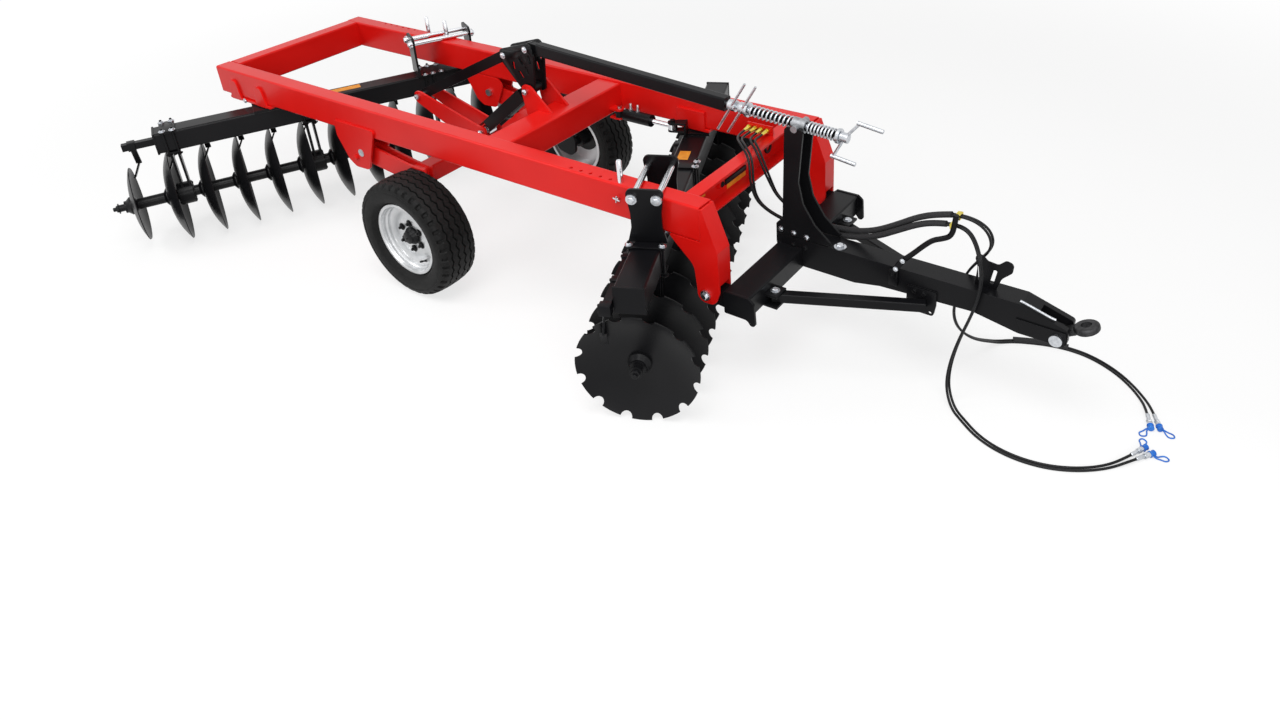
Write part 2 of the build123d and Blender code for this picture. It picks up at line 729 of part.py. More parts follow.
def build_wheel(name, side):
    """Tyre, rim and hub of one wheel."""
    half = tyre_width / 2
    place = Pos(wheel_x, side * wheel_middle_y, tyre_r)
    if side < 0:
        place = place * Rot(0, 0, 180)
    bead = half - 42
    wall = tyre_r - rim_r
    toe, flank, bulge, shoulder = [rim_r + share * wall for share in (0.09, 0.26, 0.54, 0.947)]
    tyre_table = [(rim_r - 3, -bead, 0), (toe, -bead, 4), (flank, -half + 6, 14),
                  (bulge, -half, 40), (shoulder, -half + 26, 26), (tyre_r, 0, 260),
                  (shoulder, half - 26, 26), (bulge, half, 40),
                  (flank, half - 6, 14), (toe, bead, 4), (rim_r - 3, bead, 0)]
    tyre = revolve(outline(tyre_table), Axis.Y)
    keep("tyre_" + name, place * tyre)

    lip = half - 42
    rim_table = [(rim_r - 3.3, -lip, 0), (rim_r + 8, -lip - 1, 0), (rim_r + 8, -lip - 9, 0),
                 (rim_r - 12, -lip - 9, 6), (rim_r - 12, -lip + 14, 6), (rim_r - 30, -lip + 44, 10),
                 (rim_r - 30, 22, 8), (hub_r + 24, 34, 8), (hub_r - 6, 26, 0), (hub_r - 6, 34, 0),
                 (hub_r + 24, 44, 8), (rim_r - 26, 34, 8), (rim_r - 22, lip - 40, 10),
                 (rim_r - 12, lip - 14, 6), (rim_r - 12, lip + 9, 6), (rim_r + 8, lip + 9, 0),
                 (rim_r + 8, lip + 1, 0), (rim_r - 3.3, lip, 0)]
    rim = revolve(outline(rim_table), Axis.Y)
    for x, z in stud_circle():
        rim -= rod((x, -20, z), (x, 70, z), stud_r + 0.3)
    keep("rim_" + name, place * rim)

    bore = spindle_r + spindle_gap
    hub_table = [(bore, -62, 0), (48, -62, 4), (52, 0, 0), (hub_r - 6.3, 18, 0), (hub_r + 46, 18, 2),
                 (hub_r + 46, 25.5, 2), (hub_r - 6.3, 25.5, 0), (hub_r - 6.3, 46, 4),
                 (40, 70, 10), (0, 74, 0), (0, 62, 0), (bore, 62, 0)]
    hub = revolve(outline(hub_table), Axis.Y)
    for x, z in stud_circle():
        hub += rod((x, 20, z), (x, 58, z), stud_r)
    keep("hub_" + name, place * hub)


def build_lift():
    """Lift cylinder under its cover, rocker, link bar and levelling tube."""
    run = Vector(rocker_pin[0] - lever_low[0], 0, rocker_pin[1] - lever_low[1])
    along = run.normalized()
    low = Vector(lever_low[0], 0, lever_low[1])
    top = Vector(rocker_pin[0], 0, rocker_pin[1])

    def at(reach, y=0, origin=top, sign=-1):
        point = origin + along * (sign * reach)
        return (point.X, y, point.Z)

    barrel = rod(at(44), at(44 + lift_barrel_share), lift_barrel_r)
    barrel += pin_y(*rocker_pin, -26, 26, 30)
    barrel += bar(at(0), at(50), 40, 44)
    barrel += rod(at(44 + lift_barrel_share - 26), at(44 + lift_barrel_share), lift_barrel_r + 5)
    normal = Vector(-along.Z, 0, along.X)

    def sheet(start, end, low, high, y0, y1):
        """Plate beside or over the cylinder, between two reaches and two heights above its axis."""
        table = []
        for reach, up in ((start, low), (end, low), (end, high), (start, high)):
            point = top - along * reach + normal * up
            table.append((point.X, point.Z, 0))
        return plate_xz(table, y0, y1)

    inside = cover_half - cover_wall
    for y0 in (-cover_half, inside):
        barrel += sheet(cover_start, cover_end, -30, inside, y0, y0 + cover_wall)
    barrel += sheet(cover_start, cover_end + 80, inside, cover_half, -cover_half, cover_half)
    for start in (cover_start + 14, lift_barrel_share - 20):
        barrel += sheet(start, start + 12, -30, inside, -inside, inside)
    barrel -= pin_y(*rocker_pin, -60, 60, link_pin_r + link_pin_gap)
    barrel -= rod(at(120), at(560), lift_rod_r + 0.05)
    keep("lift_cylinder", barrel)

    plunger = rod(at(22, origin=low, sign=1), at(400, origin=low, sign=1), lift_rod_r)
    plunger += pin_y(*lever_low, -30, 30, 33)
    plunger -= pin_y(*lever_low, -60, 60, link_pin_r + rod_eye_gap)
    keep("lift_rod", plunger)

    table = [(rocker_pin[0] - 34, rocker_pin[1] - 34, 30),
             (rocker_pin[0] + 40, rocker_pin[1] - 34, 30),
             (rocker_front[0] + 52, rocker_front[1] - 40, 40),
             (rocker_front[0] + 36, rocker_front[1] + 44, 34),
             (rocker_rear[0] - 30, rocker_rear[1] + 34, 30),
             (rocker_rear[0] - 44, rocker_rear[1] - 24, 30)]
    plates = None
    for side in (-1, 1):
        y = side * (rocker_gap - rocker_wall) / 2
        plate = plate_xz(table, y - rocker_wall / 2, y + rocker_wall / 2)
        plates = plate if plates is None else plates + plate
    plates += pin_y(*rocker_rear, -rocker_gap / 2 - 8, rocker_gap / 2 + 8, link_pin_r)
    plates += pin_y(*rocker_front, -rocker_gap / 2 - 8, rocker_gap / 2 + 8, link_pin_r)
    plates -= pin_y(*rocker_pin, -100, 100, link_pin_r + link_pin_gap)
    keep("rocker", plates)

    link = plate_xz(strip(lever_top, rocker_rear, 32, 36), -20, 20)
    link -= pin_y(*rocker_rear, -60, 60, link_pin_r + link_pin_gap)
    link -= pin_y(*lever_top, -60, 60, link_pin_r + open_eye_gap)
    keep("link_bar", link)

    slope = math.atan2(mast_pivot[1] - rocker_front[1], mast_pivot[0] - rocker_front[0])

    def level(x, y=0, up=0):
        return (x, y, rocker_front[1] + (x - rocker_front[0]) * math.tan(slope) + up)

    tube = bar(level(rocker_front[0] + 60), level(level_tube_end), level_tube_width,
               level_tube_height, 10)
    tube += bar(level(rocker_front[0]), level(rocker_front[0] + 64), 40, 56)
    tube += pin_y(*rocker_front, -20, 20, 30)
    tube -= pin_y(*rocker_front, -60, 60, link_pin_r + link_pin_gap)
    keep("levelling_tube", tube)

    screw = rod(level(level_tube_end + 0.3), level(screw_end), screw_r)
    for x in (-178, -114):
        screw += rod(level(x - 22), level(x + 22), 30)
        tilt = math.radians(58)
        foot = level(x)
        reach = Vector(math.cos(tilt), 0, math.sin(tilt)) * cross_bar_half
        start = Vector(*foot) + Vector(0, -22, 0) - reach
        end = Vector(*foot) + Vector(0, -22, 0) + reach
        screw += rod((start.X, start.Y, start.Z), (end.X, end.Y, end.Z), cross_bar_r)
    for x in (spring_rear[0] - 7.3, spring_front[1] + 7.3):
        screw += rod(level(x - 7), level(x + 7), spring_r + 8)
    screw += rod(level(screw_end - 30), level(screw_end + 12), 25)
    crank = level(screw_end - 9)
    for up, out in ((90, 78), (-116, -62)):
        knee = (crank[0] + out, 0, crank[2] + up)
        grip = (knee[0] + 122, 0, knee[2] - 16)
        screw += rod(crank, knee, 8)
        screw += rod((knee[0] - 12, 0, knee[2] + 2), grip, 11)
    keep("levelling_screw", screw)

    springs = []
    for start, end in (spring_rear, spring_front):
        springs.append(rod(level(start), level(end), spring_r)
                       - rod(level(start - 5), level(end + 5), screw_r + 2))
    keep("levelling_springs", *springs)
    return slope


def build_drawbar():
    """Drawbar: cross tube with lugs, mast, main tube, braces and towing eye."""
    half = draw_cross_wide / 2
    cross = block(draw_cross_x - half, draw_cross_x + half, -draw_cross_length / 2,
                  draw_cross_length / 2, draw_cross_z - draw_cross_high / 2,
                  draw_cross_z + draw_cross_high / 2)
    cross = fillet(cross.edges().filter_by(Axis.Y), 10)
    lug_front = draw_cross_x - half + 4
    lug = [(ear_pin[0] - 46, ear_pin[1] - 42, 42), (lug_front, ear_pin[1] - 54, 0),
           (lug_front, ear_pin[1] + 40, 0), (ear_pin[0] - 46, ear_pin[1] + 42, 42)]
    body = cross
    lug_low = tube_inside + 6 + ear_wall + ear_lug_gap
    lug_high = frame_width / 2 - ear_wall - ear_lug_gap
    for side in (-1, 1):
        y0 = side * (lug_low + lug_high) / 2 - (lug_high - lug_low) / 2
        body += plate_xz(lug, y0, y0 + lug_high - lug_low)
        body -= pin_y(*ear_pin, y0 - 5, y0 + lug_high - lug_low + 5, ear_pin_r + ear_pin_gap)
    front = draw_cross_x + half
    low = draw_cross_z - draw_cross_high / 2
    high = draw_cross_z + draw_cross_high / 2
    end_plate = [(draw_cross_x - half + 8, low - 4, 8), (front - 10, low - 4, 30),
                 (front + 10, low - 34, 16), (front + 36, low - 26, 16), (front + 30, high - 20, 24),
                 (front, high + 4, 10), (draw_cross_x - half + 8, high + 4, 8)]
    for way in (-1, 1):
        y0 = way * (draw_cross_length / 2 + end_plate_wall / 2 - 1) - end_plate_wall / 2
        body += plate_xz(end_plate, y0, y0 + end_plate_wall)
        middle = way * brace_rear[1]
        for back, z in ((4, brace_z + brace_side / 2 + 0.3),
                        (60, brace_z - brace_side / 2 - 12.3)):
            body += block(front - back, front + 66, middle - 48, middle + 48, z, z + 12)
    keep("drawbar_cross_tube", body)

    side = draw_tube_width / 2
    over = draw_cross_z + draw_cross_high / 2 + 0.3
    table = [(draw_tube_rear, draw_tube_top, 0), (draw_tube_rear, over, 0),
             (front + 0.3, over, 0), (front + 0.3, 470, 0), (560, 468, 30), (700, 494, 30),
             (1180, 512, 0), (1400, 470, 30), (1622, 470, 30), (1622, 560, 20),
             (1400, draw_tube_top, 20)]
    tube = plate_xz(table, -side, side)
    cheek_x = brace_front[0]
    cheek_high = draw_tube_top - 72
    cheek = [(cheek_x - 110, cheek_low + 40, 10), (cheek_x - 96, cheek_low, 16),
             (cheek_x + 32, cheek_low, 16), (cheek_x + 42, cheek_low + 60, 20),
             (cheek_x + 42, cheek_high, 10), (cheek_x - 110, cheek_high, 10)]
    holes = [cheek_x + offset for offset in (-90, -55, -20, 15)]
    for y0 in (-side - 12, side):
        tube += plate_xz(cheek, y0, y0 + 12)
    for x in holes:
        tube -= pin_y(x, cheek_low + 14, -side - 15, side + 15, cheek_hole_r)
    fork_back = hitch_pin[0] - 95
    tube -= block(fork_back, eye_centre[0], -fork_half, fork_half, 0, draw_tube_top + 10)
    tube -= pin_y(*hitch_pin, -100, 100, hitch_pin_r + 0.05)
    keep("drawbar_tube", tube)

    mast_foot = draw_tube_top + 0.3
    mast_top = mast_pivot[1] + 3
    mast_knee = mast_foot + 98
    mast_heel = mast_foot + 58
    mast_table = [(draw_tube_rear, mast_foot, 0), (440, mast_foot + 8, 10),
                  (330, mast_knee + 5, 40), (262, mast_knee + 110, 60), (235, mast_knee + 230, 60),
                  (262, mast_top - 28, 10), (262, mast_top, 24), (158, mast_top, 24),
                  (142, mast_knee, 10), (draw_tube_rear, mast_heel, 10)]
    mast = None
    for way in (-1, 1):
        y = way * (mast_gap + mast_wall) / 2
        plate = plate_xz(mast_table, y - mast_wall / 2, y + mast_wall / 2)
        mast = plate if mast is None else mast + plate
    back_front = draw_tube_rear + mast_wall
    back = [(draw_tube_rear, mast_foot, 0), (back_front, mast_foot, 0), (back_front, mast_heel, 0),
            (154, mast_knee, 0), (168, mast_top - 58, 0), (156, mast_top - 58, 0),
            (142, mast_knee, 0), (draw_tube_rear, mast_heel, 0)]
    mast += plate_xz(back, -mast_gap / 2 - 2, mast_gap / 2 + 2)
    mast += block(110, 300, -mast_gap / 2 - 2, mast_gap / 2 + 2, mast_foot, mast_foot + 12)
    mast -= pin_y(*mast_pivot, -100, 100, trunnion_pin_r + 0.05)
    keep("mast", mast)

    trunnion = pin_y(*mast_pivot, -mast_gap / 2 - 20, mast_gap / 2 + 20, trunnion_pin_r)
    pivot_x, pivot_z = mast_pivot
    trunnion += rod((pivot_x - 36, 0, pivot_z + 3), (pivot_x + 36, 0, pivot_z - 3), trunnion_r)
    trunnion -= rod((pivot_x - 90, 0, pivot_z + 6), (pivot_x + 90, 0, pivot_z - 6), screw_r + 6)
    keep("trunnion", trunnion)

    braces = []
    for way in (-1, 1):
        start = (brace_rear[0], way * brace_rear[1], brace_z)
        end = (brace_front[0], way * brace_front[1], brace_z)
        braces.append(bar(start, end, brace_side, brace_side, 6))
    keep("drawbar_braces", *braces)

    lean = math.radians(eye_lean)
    centre = Vector(eye_centre[0], 0, eye_centre[1])
    ring_axis = Vector(-math.sin(lean), 0, math.cos(lean))
    ring_plane = Plane(origin=centre, x_dir=(math.cos(lean), 0, math.sin(lean)), z_dir=ring_axis)
    ring = Cylinder(eye_ring_r, eye_thick)
    ring = fillet(ring.edges(), 12)
    ring = ring_plane.location * (ring - Cylinder(eye_hole_r, eye_thick + 10))
    shank_end = (hitch_pin[0], 0, hitch_pin[1])
    toward = (centre - Vector(*shank_end)).normalized()
    shank_start = centre - toward * (eye_ring_r - 6)
    shank = bar(shank_end, (shank_start.X, 0, shank_start.Z), 52, 36, 6)
    shank += pin_y(*hitch_pin, -26, 26, 34)
    shank -= pin_y(*hitch_pin, -60, 60, hitch_pin_r + 0.05)
    keep("towing_eye", ring + shank)
    keep("hitch_pin", pin_y(*hitch_pin, -side - 22, side + 12, hitch_pin_r)
         + pin_y(*hitch_pin, -side - 22, -side - 8, hitch_pin_r + 10))


def build_hoses():
    """Hoses with their clamps, arm, fork, couplers and caps."""
    couplers = []
    caps = []
    clamps = []
    for pair, table in hose_pairs.items():
        for hand, way in (("right", 1), ("left", -1)):
            points = []
            for x, y, z, spread, heading in table:
                angle = math.radians(heading)
                points.append((x + way * spread * math.cos(angle), y + way * spread * math.sin(angle), z))
            keep("hose_" + pair + "_" + hand, tube_along(points, hose_r))
            end = Vector(*points[-1])
            toward = (end - Vector(*points[-2])).normalized()
            face = end + toward * coupler_long
            couplers.append(rod(end, face, coupler_r))
            caps.append(rod(face + toward * 0.3, face + toward * cap_long, cap_r))
        run = clamp_runs[pair]
        start = Vector(*table[run][:3])
        end = Vector(*table[run + 1][:3])
        middle = (start + end) / 2
        reach = (end - start).normalized() * (clamp_long / 2)
        ring = bar(middle - reach, middle + reach, clamp_wide, clamp_high)
        ring -= bar(middle - reach * 2, middle + reach * 2, 31, 15)
        clamps.append(ring)
    keep("hose_couplers", *couplers)
    keep("hose_caps", *caps)
    keep("hose_clamps", *clamps)

    side = draw_tube_width / 2
    foot_x, foot_y, foot_z = arm_points[0]
    strap = block(foot_x - 24, foot_x + 24, -side - 12.3, -side - 0.3, foot_z - 62, foot_z + 36)
    keep("hose_arm", strap + tube_along(arm_points, arm_r))

    foot = draw_tube_top + 0.3
    fork = [(1160, foot, 0), (1264, foot, 0), (1284, foot + 66, 60), (1330, foot + 112, 20),
            (1334, foot + 160, 22), (1296, foot + 170, 22), (1262, foot + 136, 20),
            (1212, foot + 142, 20), (1184, foot + 168, 20), (1146, foot + 158, 22),
            (1166, foot + 98, 60)]
    plate = plate_xz(fork, -3, 3)
    for x, lean in ((1184, -10), (1238, 14)):
        slot = [(x - 9, foot + 24, 8), (x + 9, foot + 24, 8),
                (x + 9 + lean, foot + 104, 8), (x - 9 + lean, foot + 104, 8)]
        plate -= plate_xz(slot, -10, 10)
    keep("hose_fork", plate)


def build_angle_cylinder():
    """Cylinder that turns the front gang, from the mid cross box to the beam."""
    def across(x, low, high, radius):
        return rod((x, angle_y, angle_z + low), (x, angle_y, angle_z + high), radius)

    def along(x0, x1, radius):
        return rod((x0, angle_y, angle_z), (x1, angle_y, angle_z), radius)

    ears = []
    for low in (-34, 22):
        table = [(mid_box_front + 0.3, angle_y - 30, 0), (angle_rear + 28, angle_y - 30, 28),
                 (angle_rear + 28, angle_y + 30, 28), (mid_box_front + 0.3, angle_y + 30, 0)]
        ear = plate_xy(table, angle_z + low, angle_z + low + 12)
        ears.append(ear - across(angle_rear, -60, 60, angle_pin_r + link_pin_gap))
    keep("angle_cylinder_lug", *ears)

    head = angle_rear + angle_barrel
    barrel = along(angle_rear + 44, head, angle_barrel_r)
    barrel += along(angle_rear + 20, angle_rear + 50, angle_pin_r + 3)
    barrel += across(angle_rear, -20, 20, 2 * angle_pin_r)
    barrel -= across(angle_rear, -30, 30, angle_pin_r + link_pin_gap)
    barrel -= along(angle_rear + 60, head + 5, angle_rod_r + 0.05)
    keep("angle_cylinder", barrel)

    plunger = along(angle_rear + 130, angle_eye - 20, angle_rod_r)
    plunger += across(angle_eye, -17, 17, 28)
    plunger -= across(angle_eye, -30, 30, angle_pin_r + open_eye_gap)
    keep("angle_rod", plunger)
    return across(angle_rear, -42, 46, angle_pin_r)


def write_out():
    """Write each piece with the origin at the towing eye."""
    os.makedirs("parts", exist_ok=True)
    for name, solids in nodes.items():
        moved = [eye_shift * solid for solid in solids]
        flat = [piece for shape in moved for piece in shape.solids()]
        shape = flat[0] if len(flat) == 1 else Compound(children=flat)
        export_step(shape, "parts/" + name + ".step")
        print(name, len(flat), round(sum(piece.volume for piece in flat) / 1e6, 2), "litres")


build_frame()
for gang_name in gangs:
    build_rotor(gang_name)
    build_carrier(gang_name)
build_axle()
build_wheel("near", -1)
build_wheel("far", 1)
build_lift()
build_drawbar()
build_hoses()
write_out()
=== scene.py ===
import bpy
import bmesh
import json
import math
from mathutils import Matrix, Vector


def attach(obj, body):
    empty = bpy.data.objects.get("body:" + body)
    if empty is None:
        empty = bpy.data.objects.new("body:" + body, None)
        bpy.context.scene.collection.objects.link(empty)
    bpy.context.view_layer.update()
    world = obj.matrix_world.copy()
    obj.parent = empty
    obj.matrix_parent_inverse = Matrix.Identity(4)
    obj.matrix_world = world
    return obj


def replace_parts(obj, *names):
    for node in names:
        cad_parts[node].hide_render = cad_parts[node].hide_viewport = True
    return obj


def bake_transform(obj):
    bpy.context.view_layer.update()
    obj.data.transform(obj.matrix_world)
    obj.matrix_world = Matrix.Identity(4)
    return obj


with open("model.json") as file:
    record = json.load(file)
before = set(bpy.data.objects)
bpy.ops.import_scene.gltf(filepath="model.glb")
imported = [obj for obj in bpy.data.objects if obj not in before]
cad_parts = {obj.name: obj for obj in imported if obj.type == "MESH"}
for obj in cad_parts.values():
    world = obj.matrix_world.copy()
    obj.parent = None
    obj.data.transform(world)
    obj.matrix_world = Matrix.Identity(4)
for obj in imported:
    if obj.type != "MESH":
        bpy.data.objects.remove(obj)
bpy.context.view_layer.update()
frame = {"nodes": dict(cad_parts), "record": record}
print("frame loaded:", len(frame["nodes"]), "nodes")

# places are written in the machine's own axes: X from the front ends of the long tubes,
# Y from the middle of the frame, Z from the ground, in metres
eyePlace = (1.685, 0.0, 0.569)


def spot(x, y, z):
    return Vector((x - eyePlace[0], y, z - eyePlace[2]))


def newObject(name, data):
    obj = bpy.data.objects.new(name, data)
    bpy.context.scene.collection.objects.link(obj)
    return obj


gangs = {
    "front": dict(
        x=-0.131, y=-0.973, turn=24.09, count=12, hollow=-1, rollers=(0.3347, 0.6997), saddle=(0.415, 0.62),
        clamps={1: (-0.03,), 5: (-0.03, 0.03), 9: (-0.03, 0.03)}, pins=(-0.492,), pinSide=-1,
        plates=((1, -0.052, -0.008), (5, -0.047, 0.047), (9, -0.047, 0.047)), label=(1.23, 1.34)),
    "rear": dict(
        x=-4.061, y=-1.408, turn=-27.15, count=13, hollow=1, rollers=(1.975, 2.378), saddle=(2.13, 2.3),
        clamps={1: (-0.03, 0.03), 5: (-0.03, 0.03), 9: (-0.02, 0.035)}, pins=(-3.229, -3.036), pinSide=1,
        plates=((1, -0.047, 0.047), (5, -0.047, 0.047)), label=(1.36, 1.57)),
}
gangShape = dict(
    pitch=0.2127, bearings=(1, 5, 9), discHeight=0.31, beamTop=0.788, beamHigh=0.14, plateHigh=0.012,
    scraperX=-0.111, scraperZ=0.678, scraperReach=0.092, rollerHalf=0.062, rollerZ=1.0333, rollerOver=0.022,
    housingCircle=0.063, housingFace=0.0463, saddleHalf=0.08, saddleUp=0.0121, shaftOver=0.086,
    clampShift=0.012, frameTop=1.017)


def gangMatrix(name):
    gang = gangs[name]
    turn = Matrix.Rotation(math.radians(gang["turn"]), 4, "Z")
    return Matrix.Translation(spot(gang["x"], gang["y"], 0)) @ turn


# ---- finishes

def newNode(tree, kind, values=(), **settings):
    # a node with its settings and its sockets' values
    node = tree.nodes.new(kind)
    for setting, value in settings.items():
        setattr(node, setting, value)
    for socket, value in dict(values).items():
        node.inputs[socket].default_value = value
    return node


def join(tree, *rows):
    # each row is a node and its output, then a node and its input
    for source, output, target, socket in rows:
        tree.links.new(source.outputs[output], target.inputs[socket])


def newMaterial(name, baseColour, roughness, metallic=0.0, specular=0.5):
    material = bpy.data.materials.new(name)
    material.use_nodes = True
    shader = material.node_tree.nodes["Principled BSDF"]
    shader.inputs["Base Color"].default_value = (*baseColour, 1)
    shader.inputs["Roughness"].default_value = roughness
    shader.inputs["Metallic"].default_value = metallic
    shader.inputs["Specular IOR Level"].default_value = specular
    return material, material.node_tree, shader


def grain(tree, scale, detail, kind="ShaderNodeTexNoise", stretch=None):
    # one texture read from object coordinates
    source = tree.nodes.new("ShaderNodeTexCoord")
    texture = newNode(tree, kind, {"Scale": scale, "Detail": detail})
    if stretch:
        mapping = newNode(tree, "ShaderNodeMapping", {"Scale": stretch})
        join(tree, (source, "Object", mapping, "Vector"), (mapping, "Vector", texture, "Vector"))
    else:
        join(tree, (source, "Object", texture, "Vector"))
    return texture


def tint(tree, shader, texture, low, high, stops):
    ramp = tree.nodes.new("ShaderNodeValToRGB")
    for index, colour in enumerate((low, high)):
        ramp.color_ramp.elements[index].position = stops[index]
        ramp.color_ramp.elements[index].color = (*colour, 1)
    join(tree, (texture, 0, ramp, "Fac"), (ramp, "Color", shader, "Base Color"))


def relief(tree, shader, texture, output, strength, distance, edge=0.0):
    bump = newNode(tree, "ShaderNodeBump", {"Strength": strength, "Distance": distance})
    join(tree, (texture, output, bump, "Height"), (bump, "Normal", shader, "Normal"))
    if edge:
        # plate edges catch the light as if they were eased
        eased = newNode(tree, "ShaderNodeBevel", {"Radius": edge}, samples=4)
        join(tree, (eased, "Normal", bump, "Normal"))


# colour, gloss and bump hold a texture's scale and detail, and bump its strength and depth
enamel = dict(colour=(1.7, 2.0), gloss=(6.0, 2.0), bump=(420.0, 1.0, 0.03, 0.0004))
dark = dict(enamel, low=(0.005, 0.005, 0.006), high=(0.01, 0.01, 0.011), edge=0.0015)
plastic = dict(colour=(30.0, 3.0), gloss=(60.0, 2.0), bump=(600.0, 2.0, 0.05, 0.0003), specular=0.4)


def metal(scale, strength, **rest):
    bump = (scale * 14, 2.0, strength, 0.0004) if strength else ()
    gloss = (scale * 2.5, 2.0)
    return dict(rest, metallic=1.0, stops=(0.3, 0.7), colour=(scale, 3.0), gloss=gloss, bump=bump)


recipes = {
    "redEnamel": dict(
        enamel, low=(0.7, 0.007, 0.005), high=(0.79, 0.012, 0.009), rough=(0.26, 0.34), specular=0.2,
        edge=0.004),
    "blackEnamel": dict(
        enamel, low=(0.004, 0.004, 0.005), high=(0.008, 0.008, 0.009), rough=(0.26, 0.38), specular=0.13,
        edge=0.003),
    "discEnamel": dict(dark, rough=(0.26, 0.4), specular=0.15),
    "hubEnamel": dict(dark, rough=(0.28, 0.42), specular=0.2),
    "silverEnamel": dict(
        low=(0.56, 0.57, 0.58), high=(0.7, 0.71, 0.72), rough=(0.28, 0.38), metallic=0.6, colour=(8.0, 3.0),
        gloss=(25.0, 2.0), bump=(600.0, 1.0, 0.04, 0.0003), edge=0.001),
    "hardChrome": metal(5.0, 0.0, low=(0.72, 0.73, 0.76), high=(0.8, 0.81, 0.84), rough=(0.17, 0.22)),
    "brightZinc": metal(60.0, 0.05, low=(0.46, 0.48, 0.51), high=(0.66, 0.68, 0.71), rough=(0.24, 0.36)),
    "yellowZinc": metal(70.0, 0.05, low=(0.62, 0.46, 0.06), high=(0.78, 0.7, 0.16), rough=(0.24, 0.38)),
    "forgedSteel": metal(45.0, 0.1, low=(0.03, 0.03, 0.031), high=(0.065, 0.065, 0.068), rough=(0.42, 0.6)),
    "castGrey": metal(50.0, 0.12, low=(0.25, 0.26, 0.27), high=(0.38, 0.39, 0.41), rough=(0.4, 0.55)),
    "tyreRubber": dict(
        low=(0.005, 0.005, 0.005), high=(0.01, 0.01, 0.01), rough=(0.5, 0.66), specular=0.16,
        colour=(52.5, 4.0), gloss=(140.0, 3.0), bump=(420.0, 2.0, 0.12, 0.0006)),
    "hoseRubber": dict(
        low=(0.005, 0.005, 0.006), high=(0.009, 0.009, 0.01), rough=(0.34, 0.46), specular=0.22,
        colour=(87.5, 4.0), gloss=(700 / 3, 3.0), bump=(700.0, 2.0, 0.12, 0.0006)),
    "mouldedBlue": dict(plastic, low=(0.012, 0.13, 0.56), high=(0.03, 0.22, 0.74), rough=(0.31, 0.41)),
    "orangeFilm": dict(plastic, low=(0.78, 0.28, 0.015), high=(0.88, 0.36, 0.03), rough=(0.35, 0.45)),
}


def madeFinish(name, low, high, rough, colour, gloss, bump=(), metallic=0.0, specular=0.5, edge=0.0,
               stops=(0.35, 0.65)):
    material, tree, shader = newMaterial(name, high, rough[0], metallic, specular)
    tint(tree, shader, grain(tree, *colour), low, high, stops)
    spread = newNode(tree, "ShaderNodeMapRange", {"To Min": rough[0], "To Max": rough[1]})
    join(tree, (grain(tree, *gloss), 0, spread, "Value"), (spread, "Result", shader, "Roughness"))
    if bump:
        relief(tree, shader, grain(tree, *bump[:2]), 0, *bump[2:], edge)
    return material


def wovenSleeve():
    # slanted waves for a braided hose sleeve
    material, tree, shader = newMaterial("wovenSleeve", (0.03, 0.03, 0.031), 0.7, specular=0.25)
    wave = grain(tree, 160.0, 1.0, "ShaderNodeTexWave", (1, 1.6, 1.3))
    wave.bands_direction = "DIAGONAL"
    tint(tree, shader, wave, (0.014, 0.014, 0.015), (0.036, 0.036, 0.038), (0.2, 0.8))
    relief(tree, shader, wave, 1, 0.4, 0.0008)
    return material


finishes = {name: madeFinish(name, **recipe) for name, recipe in recipes.items()}
finishes["wovenSleeve"] = wovenSleeve()

slotFinish = {
    "red_paint": "redEnamel", "black_paint": "blackEnamel", "disc_steel": "discEnamel",
    "hub_black": "hubEnamel", "cast_grey": "forgedSteel", "zinc": "brightZinc", "chrome": "hardChrome",
    "tyre_rubber": "tyreRubber", "rim_silver": "silverEnamel", "hose_rubber": "hoseRubber",
    "cap_blue": "mouldedBlue", "yellow_zinc": "yellowZinc",
}
slotOf = {finishName: slot for slot, finishName in slotFinish.items()}
slotOf.update(castGrey="zinc", wovenSleeve="hose_rubber", orangeFilm="yellow_zinc")
nodeFinish = {part["node"]: slotFinish[part["material_slot"]] for part in frame["record"]["subparts"]}
nodeFinish["trunnion"] = "castGrey"

for nodeName, node in frame["nodes"].items():
    node.data.materials.clear()
    node.data.materials.append(finishes[nodeFinish[nodeName]])
print("finishes made:", len(finishes))


# ---- camera, set as the photograph was taken

view = dict(place=(2.316, -3.7395, 3.2315), yaw=-35.354, pitch=27.613, roll=-3.029, focalPixels=947.28,
            centre=(711.8, 175.0), frameWide=1280, frameHigh=720, sensor=36.0)


def makeCamera():
    yaw, pitch, roll = [math.radians(view[angle]) for angle in ("yaw", "pitch", "roll")]
    ahead = Vector((math.sin(yaw) * math.cos(pitch), math.cos(yaw) * math.cos(pitch), -math.sin(pitch)))
    level = Vector((math.cos(yaw), -math.sin(yaw), 0))
    above = level.cross(ahead)
    right = level * math.cos(roll) + above * math.sin(roll)
    up = above * math.cos(roll) - level * math.sin(roll)
    data = bpy.data.cameras.new("photoCamera")
    data.sensor_width = view["sensor"]
    data.lens = view["focalPixels"] / view["frameWide"] * view["sensor"]
    data.shift_x = (view["frameWide"] / 2 - view["centre"][0]) / view["frameWide"]
    data.shift_y = (view["centre"][1] - view["frameHigh"] / 2) / view["frameWide"]
    data.clip_end = 200
    camera = newObject("photoCamera", data)
    turn = Matrix((right, up, -ahead)).transposed().to_4x4()
    camera.matrix_world = Matrix.Translation(spot(*view["place"])) @ turn
    bpy.context.scene.camera = camera


makeCamera()


# ---- helpers for meshes

def finish(obj, finishName, body):
    obj.data.materials.clear()
    obj.data.materials.append(finishes[finishName])
    if body:
        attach(obj, body)
    return obj


def smoothByAngle(mesh, angle):
    mesh.polygons.foreach_set("use_smooth", [True] * len(mesh.polygons))
    mesh.set_sharp_from_angle(angle=math.radians(angle))


